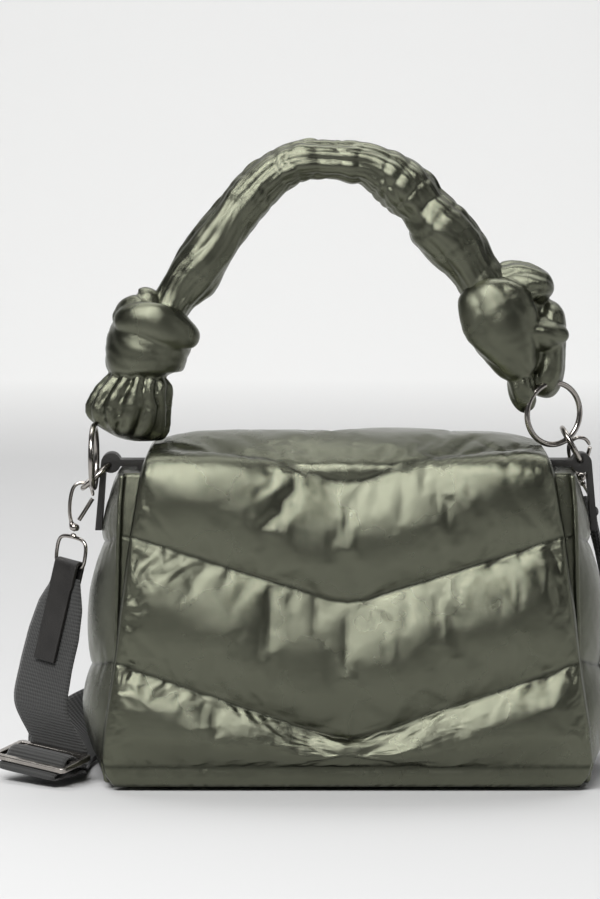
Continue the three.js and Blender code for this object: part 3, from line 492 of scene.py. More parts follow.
def grid_quads(rows: int, columns: int, wrap_rows: bool = False, wrap_columns: bool = False) -> Grid:
    """Lists the quads of a grid of points, with its sides joined where asked."""
    index = np.arange(rows * columns).reshape(rows, columns)
    if wrap_rows:
        index = np.vstack([index, index[:1]])
    if wrap_columns:
        index = np.hstack([index, index[:, :1]])
    return np.stack([index[:-1, :-1], index[:-1, 1:], index[1:, 1:], index[1:, :-1]], axis=-1).reshape(-1, 4)


def value_noise(x: Grid, y: Grid, seed: int) -> Grid:
    """Smooth noise between -1 and 1 on a plane, with one random value at each whole x and y."""
    field = np.random.default_rng(seed).uniform(-1, 1, (64, 64))
    low_x, low_y = np.floor(x).astype(int), np.floor(y).astype(int)
    tx, ty = x - low_x, y - low_y
    tx, ty = tx * tx * (3 - 2 * tx), ty * ty * (3 - 2 * ty)

    def corner(dx: int, dy: int) -> Grid:
        return field[(low_x + dx) % 64, (low_y + dy) % 64]

    low = corner(0, 0) * (1 - tx) + corner(1, 0) * tx
    high = corner(0, 1) * (1 - tx) + corner(1, 1) * tx
    return low * (1 - ty) + high * ty


def ridge(phase: Grid) -> Grid:
    """A pucker's section: round crests and sharp valleys, from 0 in the valley to 1 on the crest."""
    return np.abs(np.sin(phase)) ** 0.7


def make_mesh(name: str, points: Grid, quads: Grid, fans: Sequence[Sequence[int]] = (),
              fields: dict[str, Grid] | None = None) -> bpy.types.Object:
    """Makes a mesh object from points in millimetres.

    Args:
        name: The new object's name.
        points: One place a row, in millimetres.
        quads: Four point numbers a row.
        fans: Further faces of any size, such as end caps.
        fields: Named values, one for each point, kept as attributes for the materials.

    Returns:
        The object, smooth shaded, with its faces turned outwards.
    """
    mesh = bpy.data.meshes.new(name)
    mesh.from_pydata((points * MM).tolist(), [], quads.tolist() + [list(fan) for fan in fans])
    add_fields(mesh, fields or {})
    tidy = bmesh.new()
    tidy.from_mesh(mesh)
    bmesh.ops.remove_doubles(tidy, verts=tidy.verts, dist=MERGE_DISTANCE)
    bmesh.ops.recalc_face_normals(tidy, faces=tidy.faces)
    tidy.to_mesh(mesh)
    tidy.free()
    smooth_shade(mesh)
    made = place_object(name, mesh)
    return made


def attach(made: bpy.types.Object, material: bpy.types.Material, nodes: Sequence[str] = (),
           body: str = BAG) -> bpy.types.Object:
    """Gives a piece its material, its body and the CAD nodes that it stands for."""
    made.data.materials.clear()
    made.data.materials.append(material)
    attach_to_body(made, body)
    if nodes:
        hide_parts(*nodes)
    return made


def place_object(name: str, data: bpy.types.ID) -> bpy.types.Object:
    """Makes an object and puts it in the scene."""
    made = bpy.data.objects.new(name, data)
    bpy.context.scene.collection.objects.link(made)
    return made


def no_seams(count: int) -> dict[str, Grid]:
    """The seam fields of a piece that has no seam."""
    return {"seam_distance": np.full(count, FAR_FROM_SEAM), "seam_run": np.zeros(count)}


def add_fields(mesh: bpy.types.Mesh, fields: dict[str, Grid]) -> None:
    """Keeps named values on a mesh's points."""
    for key, values in fields.items():
        layer = mesh.attributes.new(key, "FLOAT", "POINT")
        layer.data.foreach_set("value", np.asarray(values, dtype=np.float32).ravel())


def smooth_shade(mesh: bpy.types.Mesh) -> None:
    """Shades every face of a mesh smooth."""
    mesh.polygons.foreach_set("use_smooth", np.ones(len(mesh.polygons), dtype=bool))


def tube(centres: Grid, across: Grid, other: Grid, radii: Grid) -> tuple[Grid, Grid, list[list[int]]]:
    """Sweeps a closed section along a path.

    Args:
        centres: The path's places.
        across: The section's first direction at each place.
        other: The section's second direction at each place.
        radii: The section's half width and half thickness at each place and side, shape (n, sides, 2).

    Returns:
        The points, the quads and the two end caps.
    """
    rows, sides = radii.shape[:2]
    turn = 2 * np.pi * np.arange(sides) / sides
    points = (
        centres[:, None]
        + across[:, None] * (np.cos(turn)[None] * radii[..., 0])[..., None]
        + other[:, None] * (np.sin(turn)[None] * radii[..., 1])[..., None]
    )
    caps = [list(range(sides)), list(range((rows - 1) * sides, rows * sides))]
    return points.reshape(-1, 3), grid_quads(rows, sides, wrap_columns=True), caps


class Socket:
    """A shader value that can be added, multiplied and compared like a number."""

    def __init__(self, shader: "Shader", socket: bpy.types.NodeSocket) -> None:
        self.shader = shader
        self.socket = socket

    def math(self, operation: str, other: "Socket | float" = 0.0) -> "Socket":
        """Joins this value and another with one Math node."""
        return self.shader.node("ShaderNodeMath", {0: self, 1: other}, operation=operation)

    def __add__(self, other: "Socket | float") -> "Socket":
        return self.math("ADD", other)

    __radd__ = __add__

    def __mul__(self, other: "Socket | float") -> "Socket":
        return self.math("MULTIPLY", other)

    __rmul__ = __mul__

    def __truediv__(self, other: "Socket | float") -> "Socket":
        return self.math("DIVIDE", other)

    def __lt__(self, other: "Socket | float") -> "Socket":
        return self.math("LESS_THAN", other)

    def __abs__(self) -> "Socket":
        return self.math("ABSOLUTE")

    def fraction(self) -> "Socket":
        """The part after the decimal point."""
        return self.math("FRACT")

    def wave(self, pitch: float) -> "Socket":
        """A sine wave of this value with the given pitch, from -1 to 1."""
        return (self * (2 * math.pi / pitch)).math("SINE")


class Shader:
    """A material's node tree, built through one method."""

    def __init__(self, name: str) -> None:
        self.material = bpy.data.materials.new(name)
        self.material.use_nodes = True
        self.tree = self.material.node_tree
        self.bsdf = self.tree.nodes["Principled BSDF"]

    def node(self, kind: str, inputs: dict[str | int, object] | None = None, output: str | int = 0,
             **options: object) -> Socket:
        """Adds a node.

        Args:
            kind: The node's type name.
            inputs: Values or sockets for its inputs, by name or number.
            output: The output to return, by name or number.
            options: Properties of the node itself.

        Returns:
            The chosen output.
        """
        made = self.tree.nodes.new(kind)
        for key, value in options.items():
            setattr(made, key, value)
        for key, value in (inputs or {}).items():
            self.feed(made.inputs[key], value)
        return Socket(self, made.outputs[output])

    def feed(self, target: bpy.types.NodeSocket, value: object) -> None:
        """Links a socket, or sets a plain value."""
        if isinstance(value, Socket):
            self.tree.links.new(value.socket, target)
        else:
            target.default_value = value

    def set(self, **inputs: object) -> None:
        """Feeds the surface's inputs, with underscores for the spaces in their names."""
        for key, value in inputs.items():
            self.feed(self.bsdf.inputs[key.replace("_", " ")], value)

    def place(self) -> Socket:
        """The point's place in the object's own coordinates, in metres."""
        return self.node("ShaderNodeTexCoord", output="Object")

    def field(self, name: str) -> Socket:
        """A named value kept on the mesh."""
        return self.node("ShaderNodeAttribute", output="Fac", attribute_name=name)

    def axis(self, name: str) -> Socket:
        """One coordinate of the point's place, in metres."""
        return self.node("ShaderNodeSeparateXYZ", {0: self.place()}, output=name)

    def noise(self, scale: float, detail: float = 3, roughness: float = 0.55) -> Socket:
        """Noise over the object's own coordinates, 0 to 1."""
        inputs = {"Vector": self.place(), "Scale": scale, "Detail": detail, "Roughness": roughness}
        return self.node("ShaderNodeTexNoise", inputs, output="Fac")

    def mix(self, share: Socket | float, low: Colour | Socket, high: Colour | Socket) -> Socket:
        """A colour between two others."""
        made = self.tree.nodes.new("ShaderNodeMix")
        made.data_type = "RGBA"
        self.feed(made.inputs[0], share)
        self.feed(made.inputs[6], low)
        self.feed(made.inputs[7], high)
        return Socket(self, made.outputs[2])

    def span(self, value: Socket, low: float, high: float, start: float = 0.0, end: float = 1.0) -> Socket:
        """A value's range mapped to another one, and kept inside it."""
        return self.node("ShaderNodeMapRange", {"Value": value, "From Min": low, "From Max": high,
                                                "To Min": start, "To Max": end})

    def bump(self, height: Socket, distance: float, strength: float = 1.0) -> Socket:
        """A normal from a height of 0 to 1, with the height's full depth in metres."""
        return self.node("ShaderNodeBump", {"Height": height, "Distance": distance, "Strength": strength})


@dataclass(frozen=True)
class NylonFinish:
    """The quilted cloth's satin coating: weave and relief in metres, stitches and groove in millimetres."""

    dark: Colour = (0.112, 0.116, 0.084, 1)
    light: Colour = (0.165, 0.171, 0.128, 1)
    thread: Colour = (0.075, 0.077, 0.056, 1)
    # Painted shade laid in the sunken groove along each seam.
    pressed: Colour = (0.06, 0.063, 0.048, 1)
    metallic: float = 0.95
    roughness: float = 0.24
    weave_pitch: float = 0.00045
    stitch_pitch: float = 3.2
    stitch_half_width: float = 0.32
    stitch_share: float = 0.66
    groove_width: float = 1.6
    relief: float = 0.0008


@dataclass(frozen=True)
class LeatherFinish:
    """The tabs' and strap end's fine-grained leather."""

    dark: Colour = (0.011, 0.0105, 0.01, 1)
    light: Colour = (0.026, 0.024, 0.022, 1)
    roughness: float = 0.46
    grain: float = 1500


@dataclass(frozen=True)
class MetalFinish:
    """The rings', clips' and slider's polished plating."""

    colour: Colour = (0.36, 0.335, 0.31, 1)
    worn: Colour = (0.5, 0.47, 0.43, 1)
    roughness: float = 0.16


@dataclass(frozen=True)
class WebbingFinish:
    """The strap's ribbed weave."""

    dark: Colour = (0.01, 0.01, 0.0095, 1)
    light: Colour = (0.036, 0.036, 0.034, 1)
    rib_pitch: float = 1.9
    cord_pitch: float = 1.25
    roughness: float = 0.72


def nylon_material(finish: NylonFinish) -> bpy.types.Material:
    """Makes the quilted cloth: satin sheen, fine weave, small creases and thread along the seams, with
    painted shade in the seam grooves and in the creases.
    """
    shader = Shader("quilted_nylon")
    cloud = shader.noise(22, detail=4)
    crease = shader.noise(75, detail=2.5, roughness=0.5)
    distance = abs(shader.field("seam_distance"))
    dash = (shader.field("seam_run") / finish.stitch_pitch).fraction() < finish.stitch_share
    thread = (distance < finish.stitch_half_width) * dash
    # 0 on a seam, rising to 1 a groove's width away: it sinks the relief and lays the painted seam shade.
    groove = shader.span(distance, 0.0, finish.groove_width)
    # Random tone from the cloud noise, plus painted shade: the cloth is darker where the crease relief is
    # low.
    tone_and_painted_shade = shader.mix(cloud * 0.75 + crease * 0.25, finish.dark, finish.light)
    weave = shader.axis("X").wave(finish.weave_pitch) * shader.axis("Z").wave(finish.weave_pitch)
    height = crease * 0.7 + groove * 0.25 + thread * 0.6 + weave * 0.035
    shader.set(
        # Cloth tone, darkened by painted shade in the seam grooves, with the thread on top.
        Base_Color=shader.mix(thread, shader.mix(groove, finish.pressed, tone_and_painted_shade), finish.thread),
        Metallic=finish.metallic,
        Roughness=shader.span(cloud, 0.3, 0.7, finish.roughness - 0.03, finish.roughness + 0.07),
        Normal=shader.bump(height, finish.relief, 0.8),
    )
    return shader.material


def leather_material(finish: LeatherFinish) -> bpy.types.Material:
    """Makes leather with a fine pebbled grain and slightly lighter wear."""
    shader = Shader("leather")
    inputs = {"Vector": shader.place(), "Scale": finish.grain}
    cells = shader.node("ShaderNodeTexVoronoi", inputs, output="Distance")
    wear = shader.noise(90, detail=4)
    shader.set(
        Base_Color=shader.mix(wear, finish.dark, finish.light),
        Roughness=shader.span(wear, 0.3, 0.7, finish.roughness - 0.06, finish.roughness + 0.1),
        Normal=shader.bump(cells * 0.6 + wear * 0.4, 0.0003, 0.7),
    )
    return shader.material


def metal_material(finish: MetalFinish) -> bpy.types.Material:
    """Makes polished gunmetal plating with faint wear."""
    shader = Shader("gunmetal")
    wear = shader.noise(160, detail=5)
    shader.set(
        Base_Color=shader.mix(shader.span(wear, 0.5, 0.75), finish.colour, finish.worn),
        Metallic=1.0,
        Roughness=shader.span(wear, 0.3, 0.7, finish.roughness, finish.roughness + 0.12),
        Normal=shader.bump(wear, 0.00004, 0.5),
    )
    return shader.material


def webbing_material(finish: WebbingFinish) -> bpy.types.Material:
    """Makes webbing with cross ribs and lengthwise cords, from the strip's own run and cross values."""
    shader = Shader("webbing")
    ribs = shader.field("run").wave(finish.rib_pitch) * 0.5 + 0.5
    cords = shader.field("across").wave(finish.cord_pitch) * 0.5 + 0.5
    fluff = shader.noise(700, detail=3)
    weave = ribs * 0.7 + cords * 0.3
    shader.set(
        Base_Color=shader.mix(weave * 0.7 + fluff * 0.3, finish.dark, finish.light),
        Roughness=finish.roughness,
        Sheen_Weight=0.25,
        Normal=shader.bump(weave + fluff * 0.25, 0.0005, 0.9),
    )
    return shader.material


@dataclass(frozen=True)
class FloorFinish:
    """The studio floor's greys, which paint shade onto one white sweep, and the metres over which one passes
    into the next.
    """

    # Painted shade far in front of the bag, which the satin reflects as a dark studio.
    near: Colour = (0.12, 0.12, 0.12, 1)
    # Painted shade on the flat floor, so that it comes out as bright as the backdrop.
    table: Colour = (0.57, 0.57, 0.57, 1)
    backdrop: Colour = (0.83, 0.83, 0.823, 1)
    depth: tuple[float, float] = (-1.1, -0.45)
    height: tuple[float, float] = (0.0, 0.06)
    roughness: float = 0.9


def floor_material(finish: FloorFinish) -> bpy.types.Material:
    """Makes the pale studio floor with painted shade: darker far in front of the bag, and greyer on the flat
    than on the backdrop.
    """
    shader = Shader("studio_floor")
    # Painted shade: darkest far in front, grey on the flat, pale up the backdrop.
    table = shader.mix(shader.span(shader.axis("Y"), *finish.depth), finish.near, finish.table)
    tone_and_painted_shade = shader.mix(shader.span(shader.axis("Z"), *finish.height), table, finish.backdrop)
    shader.set(Base_Color=tone_and_painted_shade, Roughness=finish.roughness)
    return shader.material


@dataclass(frozen=True)
class Materials:
    """The four finishes of the bag."""

    nylon: bpy.types.Material
    leather: bpy.types.Material
    metal: bpy.types.Material
    webbing: bpy.types.Material

    @classmethod
    def make(cls) -> "Materials":
        """Builds all four."""
        return cls(
            nylon_material(NylonFinish()),
            leather_material(LeatherFinish()),
            metal_material(MetalFinish()),
            webbing_material(WebbingFinish()),
        )


def puff_share(share: Grid) -> Grid:
    """How far a channel stands up at a share of its width: a round crown between two seams."""
    return np.sin(np.pi * np.clip(share, 0, 1)) ** 0.62


@dataclass(frozen=True)
class Gathers:
    """Gathers square to a seam: how far they reach, their pitch and their depth, in millimetres."""

    DRIFT = 4.5
    DRIFT_LENGTH = 23
    SLANT = 0.06
    USUAL = 0.3
    CHANGE = 0.95
    PATCH_ALONG = 9
    PATCH_AWAY = 12

    seed: int
    reach: float
    pitch: float
    depth: float

    def sink(self, run: Grid, distance: Grid) -> Grid:
        """How far the cloth is drawn in.

        Args:
            run: Length along the seam, in millimetres.
            distance: Distance from the seam, in millimetres.

        Returns:
            Depths in millimetres, 0 on the crests and fading with distance.
        """
        drift = self.DRIFT * value_noise(run / self.DRIFT_LENGTH, np.full_like(run, 0.5), self.seed)
        patch = value_noise(run / self.PATCH_ALONG, distance / self.PATCH_AWAY, self.seed + 1)
        strength = np.clip(self.USUAL + self.CHANGE * patch, 0, 1)
        valley = 1 - ridge(np.pi * run / self.pitch + drift + self.SLANT * distance)
        return self.depth * valley * strength * np.exp(-distance / self.reach)


FLAP_GATHERS = Gathers(seed=11, reach=6, pitch=7.5, depth=1.3)
FLAP_FOLDS = Gathers(seed=23, reach=18, pitch=23, depth=1.3)
BODY_GATHERS = Gathers(seed=41, reach=9, pitch=8, depth=1.5)
BODY_FOLDS = Gathers(seed=46, reach=16, pitch=19, depth=1)


@dataclass(frozen=True)
class ClothSizes:
    """How hard a panel is blown up: pressure, growth of the cloth as a share, and the cap in millimetres."""

    pressure: float
    growth: float
    cap: float
    frames: int = 20


FLAP_CLOTH = ClothSizes(pressure=5, growth=0.012, cap=7)


class Flap:
    """The padded flap, from the back of the rim over the top and down the front."""

    EVEN_COLUMNS = 0.3
    MIDDLE_GATHER = 0.7
    SIDE_GATHER = 1.3
    SIDE_GATHER_WIDTH = 120
    END_WIDTH = 122
    END_FADE = 9
    END_PITCH = 4.2
    END_DEPTH = 0.9
    WAVE_DEPTH = 0.5
    WAVE_ALONG = 20
    WAVE_AWAY = 16
    WAVE_SEED = 31
    WAVE_REACH = 6

    def __init__(self, sizes: FlapSizes, body: BodySizes) -> None:
        self.sizes = sizes
        self.body = body
        knots = np.stack([
            FLAP_PROFILE[:, 0] * body.depth / 2,
            FLAP_PROFILE[:, 1] * body.rim
            + FLAP_PROFILE[:, 2] * sizes.lift
            + (FLAP_PROFILE[:, 2] > 0) * sizes.clearance,
        ], axis=1)
        fine = catmull_rom(knots, np.linspace(0, len(knots) - 1, 1200))
        self.run = np.concatenate([[0], np.cumsum(np.linalg.norm(np.diff(fine, axis=0), axis=1))])
        self.path = fine
        self.slope = unit(np.gradient(fine, self.run, axis=0))

    def run_at_height(self, height: Grid) -> Grid:
        """Length along the path where its front first reaches a height."""
        front = self.path[:, 0] < -0.93 * self.body.depth / 2
        return np.interp(height, self.path[front, 1], self.run[front])

    def seams(self, middle: Grid) -> list[Grid]:
        """Lengths along the path of every seam at each column, from the hem's edge to the back edge."""
        body = self.body
        top_side = np.interp(-self.sizes.top_run, self.path[:, 0], self.run)
        top_middle = self.run_at_height(np.array([body.rim - self.sizes.top_drop]))[0]
        return [
            np.zeros_like(middle),
            self.run_at_height(np.full_like(middle, body.hem)),
            self.run_at_height(body.low_seam - body.low_drop * middle),
            self.run_at_height(body.high_seam - body.high_drop * middle),
            top_side + (top_middle - top_side) * middle,
            np.full_like(middle, self.run[-1]),
        ]

    def grids(self) -> dict[str, Grid]:
        """Lays out the flap's two faces.

        Returns:
            Named grids: base and outer points, the outward direction, the seam fields, and which points are
            sewn down.
        """
        even = np.linspace(-1, 1, self.sizes.columns + 1)
        across = self.EVEN_COLUMNS * even + (1 - self.EVEN_COLUMNS) * np.sin(even * np.pi / 2)
        middle = 1 - np.abs(across)
        middle = middle - self.sizes.chevron_round * np.exp(-((middle - 1) / 0.05) ** 2)
        seams = self.seams(middle)
        rows: list[tuple[Grid, Grid, float, Grid]] = []
        for number, (count, puff) in enumerate(FLAP_CHANNELS):
            last = number == len(FLAP_CHANNELS) - 1
            for share in np.linspace(0, 1, count + 1)[: None if last else -1]:
                at = seams[number] + (seams[number + 1] - seams[number]) * share
                gap = np.minimum(share, 1 - share) * (seams[number + 1] - seams[number])
                rows.append((at, np.full_like(at, share), puff, gap))
        at = np.array([row[0] for row in rows])
        share = np.array([row[1] for row in rows])
        puff = np.array([row[2] for row in rows])[:, None]
        gap = np.array([row[3] for row in rows])
        base_y, base_z = (np.interp(at, self.run, self.path[:, k]) for k in (0, 1))
        slope_y, slope_z = (np.interp(at, self.run, self.slope[:, k]) for k in (0, 1))
        half = table_read(FLAP_EDGES, 1, base_z / self.body.rim) * self.sizes.width / 2
        base = np.stack([across[None] * half, base_y, base_z], axis=-1)
        outward = unit(np.stack([np.zeros_like(at), -slope_z, slope_y], axis=-1))
        edge = np.sqrt(np.clip(1 - np.abs(across[None]) ** 6, 0, 1))
        full = self.sizes.seam_thickness + self.sizes.puff * puff * puff_share(share)
        thickness = self.sizes.edge_thickness + (full - self.sizes.edge_thickness) * edge
        return {
            "base": base,
            "outward": outward,
            "outer": base + outward * thickness[..., None],
            "gap": gap,
            "run": across[None] * half,
            "edge": edge,
            "sewn": (gap < 1e-6) | (np.abs(across[None]) > 0.985),
            "at": at,
        }

    def inflated(self, grids: dict[str, Grid]) -> Grid:
        """Blows the outer face up as cloth held along its seams.

        Args:
            grids: The flap's layout.

        Returns:
            The outer points after the simulation, no further than the cap from where they began.
        """
        outer = grids["outer"]
        low = self.sizes.seam_thickness
        depth = np.sum((outer - grids["base"]) * grids["outward"], axis=-1)
        uneven = 0.8 + 0.12 * value_noise(grids["run"] / 31 + 3.3, grids["at"] / 37, 71)
        start = grids["base"] + grids["outward"] * np.minimum(depth, low + uneven * (depth - low))[..., None]
        points = settle_cloth("flap_cloth", start.reshape(-1, 3), grid_quads(*outer.shape[:2]),
                              grids["sewn"].ravel(), FLAP_CLOTH).reshape(outer.shape)
        lift = np.sum((points - grids["base"]) * grids["outward"], axis=-1)
        floor = np.minimum(self.sizes.least_padding, depth)
        return points + grids["outward"] * np.maximum(floor - lift, 0)[..., None]

    def make(self, materials: Materials) -> bpy.types.Object:
        """Builds the flap as one closed padded sheet."""
        grids = self.grids()
        outer = self.inflated(grids)
        run, at, gap = grids["run"], grids["at"], grids["gap"]
        side = self.MIDDLE_GATHER + self.SIDE_GATHER * (np.abs(run) / self.SIDE_GATHER_WIDTH) ** 2
        gathers = FLAP_GATHERS.sink(run, gap) + FLAP_FOLDS.sink(run + 0.5 * at, gap)
        fade = np.exp(-(1 - np.abs(run) / self.END_WIDTH) * self.END_FADE)
        ends = self.END_DEPTH * fade * ridge(at / self.END_PITCH)
        wave = self.WAVE_DEPTH * value_noise(run / self.WAVE_ALONG, at / self.WAVE_AWAY, self.WAVE_SEED)
        wave = wave * (1 - np.exp(-gap / self.WAVE_REACH))
        drop = (gathers * side + ends - wave) * (gap > 0) * grids["edge"]
        outer = outer - grids["outward"] * drop[..., None]
        base = grids["base"]
        middle = (outer + base) / 2
        bulge = np.array([self.sizes.side_bulge, 0, 0])
        rings = np.concatenate([outer, middle[:, -1:] + bulge, base[:, ::-1], middle[:, :1] - bulge], axis=1)
        count = rings.shape[1]
        columns = outer.shape[1]
        lip = self.sizes.end_bulge
        hem, end = (
            np.concatenate([line, line[:, -1:], line[:, ::-1], line[:, :1]], axis=1)
            for line in (middle[:1] - [0, 0, lip], middle[-1:] + [0, lip, 0])
        )
        every = np.concatenate([hem, rings, end], axis=0)
        rows = len(every)
        distance = np.full((rows, count), FAR_FROM_SEAM)
        distance[1:-1, :columns] = gap
        seam_run = np.zeros((rows, count))
        seam_run[1:-1, :columns] = run
        made = make_mesh("flap_quilted", every.reshape(-1, 3), grid_quads(rows, count, wrap_columns=True),
                         fields={"seam_distance": distance, "seam_run": seam_run})
        attach(made, materials.nylon, ["flap"])
        return made


def settle_cloth(name: str, points: Grid, quads: Grid, held: Grid, sizes: ClothSizes) -> Grid:
    """Runs a cloth simulation on a panel and returns where its points end.

    Args:
        name: Name of the passing object.
        points: The panel's points, in millimetres.
        quads: Its faces.
        held: True where a point is sewn down.
        sizes: How hard it is blown up.

    Returns:
        The settled points, each within the cap of its start.
    """
    panel = bpy.data.meshes.new(name)
    panel.from_pydata((points * MM).tolist(), [], quads.tolist())
    cloth = place_object(name, panel)
    pins = cloth.vertex_groups.new(name="sewn")
    pins.add(np.flatnonzero(held).tolist(), 1.0, "REPLACE")
    modifier = cloth.modifiers.new("Cloth", "CLOTH")
    settings = modifier.settings
    settings.quality = 4
    settings.mass = 0.15
    settings.tension_stiffness = 12
    settings.compression_stiffness = 12
    settings.shear_stiffness = 4
    settings.bending_stiffness = 0.02
    settings.air_damping = 3
    settings.use_pressure = True
    settings.uniform_pressure_force = sizes.pressure
    settings.shrink_min = -sizes.growth
    settings.vertex_group_mass = "sewn"
    settings.effector_weights.gravity = 0
    modifier.collision_settings.use_collision = False
    modifier.point_cache.frame_start = 1
    modifier.point_cache.frame_end = sizes.frames
    scene = bpy.context.scene
    for frame_number in range(1, sizes.frames + 1):
        scene.frame_set(frame_number)
    settled = cloth.evaluated_get(bpy.context.evaluated_depsgraph_get()).to_mesh()
    ends = np.empty(len(points) * 3, dtype=np.float32)
    settled.vertices.foreach_get("co", ends)
    ends = ends.reshape(-1, 3).astype(float) / MM
    moved = ends - points
    length = np.linalg.norm(moved, axis=1, keepdims=True)
    LOG.info("%s moved %.1f mm on average, %.1f at most", name, float(length.mean()), float(length.max()))
    bpy.data.objects.remove(cloth)
    bpy.data.meshes.remove(panel)
    scene.frame_set(1)
    return points + moved * np.minimum(1, sizes.cap / np.maximum(length, 1e-6))


class Body:
    """The quilted body under the flap, hollow and open at the rim."""

    COLUMNS = (("front", 64), ("right", 64), ("back", 120), ("left", 64))
    CHANNEL_ROWS = (26, 34, 24)
    HEM_ROWS = (0, 0.15, 0.35, 0.6, 0.8)
    INNER_ROWS = (1, 0.86, 0.6, 0.3, 0.12, 0)
    PANEL_SHARE = 0.88
    FRONT_SINK = 0.3
    PIPING_FOOT = 3
    PIPING_TOP = 1
    PIPING_STEPS = 150
    PIPING_SIDES = 12
    PIPING_RADIUS = 1.5

    def __init__(self, sizes: BodySizes) -> None:
        self.sizes = sizes

    def half(self, column: int, height: Grid) -> Grid:
        """Half the body's size at a height, from one column of the sections table."""
        whole = self.sizes.depth if column == 3 else self.sizes.width
        return table_read(BODY_SECTIONS, column, height / self.sizes.rim) * whole / 2

    def layout(self) -> tuple[list[str], Grid]:
        """The panel that each column stands on, and how far along it from 0 to 1."""
        panels: list[str] = []
        along: list[float] = []
        for panel, count in self.COLUMNS:
            panels += [panel] * count
            along += (np.arange(count) / count).tolist()
        return panels, np.array(along)

    def points(self, panels: list[str], along: Grid, height: Grid, puff: Grid, sink: Grid) -> Grid:
        """Places points on the outer face.

        Args:
            panels: The panel of each column.
            along: How far along its panel each column stands.
            height: Heights, one row per ring.
            puff: Share of the channel's puff at each point.
            sink: How far each point lies below the smooth face, in millimetres.

        Returns:
            The points.
        """
        front, gusset, depth = (self.half(column, height) for column in (1, 2, 3))
        bulge = np.sin(np.pi * along)[None] ** 0.8
        sizes = self.sizes
        kinds = np.array(panels)
        share = along[None]
        front_face = -depth - (sizes.crown + sizes.front_puff * puff) * bulge + sink
        back_face = depth + (sizes.crown + sizes.back_puff * puff) * bulge - sink
        reach = front + (gusset - front + sizes.gusset_puff * puff) * bulge - sink
        x = np.select(
            [kinds == "front", kinds == "back", kinds == "right", kinds == "left"],
            [-front + 2 * front * share, front - 2 * front * share, reach, -reach],
        )
        y = np.select(
            [kinds == "front", kinds == "back", kinds == "right", kinds == "left"],
            [front_face, back_face, -depth + 2 * depth * share, depth - 2 * depth * share],
        )
        return np.stack([x, y, height], axis=-1)

    def make(self, materials: Materials) -> bpy.types.Object:
        """Builds the body's outer and inner faces as one closed solid."""
        sizes = self.sizes
        panels, along = self.layout()
        kinds = np.array(panels)
        on_panel = np.isin(kinds, ("front", "back"))
        middle = np.where(on_panel, 1 - np.abs(2 * along - 1), 0)
        sag = np.where(on_panel, 0, sizes.gusset_drop * np.sin(np.pi * along))
        seams = [
            np.full_like(along, sizes.hem),
            sizes.low_seam - sizes.low_drop * middle - sag,
            sizes.high_seam - sizes.high_drop * middle - sag,
            np.full_like(along, sizes.rim),
        ]
        heights = [np.full_like(along, share * sizes.hem) for share in self.HEM_ROWS]
        puffs = [np.zeros_like(along)] * len(heights)
        gaps = [sizes.hem - row for row in heights]
        for number, count in enumerate(self.CHANNEL_ROWS):
            for share in np.arange(count) / count:
                heights.append(seams[number] + (seams[number + 1] - seams[number]) * share)
                puffs.append(np.full_like(along, puff_share(np.array(share))))
                gaps.append(np.minimum(share, 1 - share) * (seams[number + 1] - seams[number]))
        heights.append(seams[-1])
        puffs.append(np.zeros_like(along))
        gaps.append(np.zeros_like(along))
        height, puff, gap = np.array(heights), np.array(puffs), np.array(gaps)
        length = np.where(on_panel, sizes.width * self.PANEL_SHARE, sizes.depth)
        run = np.broadcast_to((along * length)[None], height.shape)
        corner = np.sin(np.pi * along)[None] ** 0.35
        sink = (BODY_GATHERS.sink(run, gap) + BODY_FOLDS.sink(run + 0.4 * height, gap)) * corner
        sink = np.where(kinds[None] == "front", sink * self.FRONT_SINK, sink)
        sink = sink * (gap > 0) * (height < sizes.rim - 0.5) * (height > sizes.hem)
        outer = self.points(panels, along, height, puff, sink)
        inner_heights = np.array(self.INNER_ROWS) * (sizes.rim - sizes.base) + sizes.base
        level = np.broadcast_to(inner_heights[:, None], (len(inner_heights), len(along)))
        shell = self.points(panels, along, level, np.zeros_like(level), np.zeros_like(level))
        limit_x = np.maximum(np.abs(shell[..., 0]), self.half(1, level))
        limit_y = np.maximum(np.abs(shell[..., 1]), self.half(3, level))
        shell[..., 0] *= (limit_x - sizes.wall) / limit_x
        shell[..., 1] *= (limit_y - sizes.wall) / limit_y
        every = np.concatenate([outer, shell])
        rows, columns = every.shape[:2]
        distance = np.concatenate([gap, np.full(level.shape, FAR_FROM_SEAM)])
        runs = np.concatenate([run, np.zeros(level.shape)])
        caps = [list(range(columns)), list(range((rows - 1) * columns, rows * columns))]
        quads = grid_quads(rows, columns, wrap_columns=True)
        made = make_mesh("body_quilted", every.reshape(-1, 3), quads, caps,
                         {"seam_distance": distance, "seam_run": runs})
        attach(made, materials.nylon, ["body_shell"])
        return made

    def make_piping(self, materials: Materials) -> None:
        """Builds the corded seams up the four corners between the panels and the gussets."""
        sizes = self.sizes
        height = np.linspace(self.PIPING_FOOT, sizes.rim - self.PIPING_TOP, self.PIPING_STEPS)
        front, depth = self.half(1, height), self.half(3, height)
        for side in Side:
            for face in (-1, 1):
                uneven = value_noise(height / 7, np.zeros_like(height), 3 + face)
                half = self.PIPING_RADIUS + 0.25 * (0.35 * np.sin(height / 1.9) + 0.5 * uneven)
                centres = np.stack([side.value * (front + 0.4), face * (depth + 0.2), height], axis=1)
                radii = np.broadcast_to(half[:, None, None], (len(height), self.PIPING_SIDES, 2))
                across = np.tile([1.0, 0, 0], (len(height), 1))
                other = np.tile([0, 1.0, 0], (len(height), 1))
                points, quads, caps = tube(centres, across, other, radii)
                place = "front" if face < 0 else "back"
                made = make_mesh(f"piping_{place}_{side.word}", points, quads, caps, no_seams(len(points)))
                attach(made, materials.nylon)


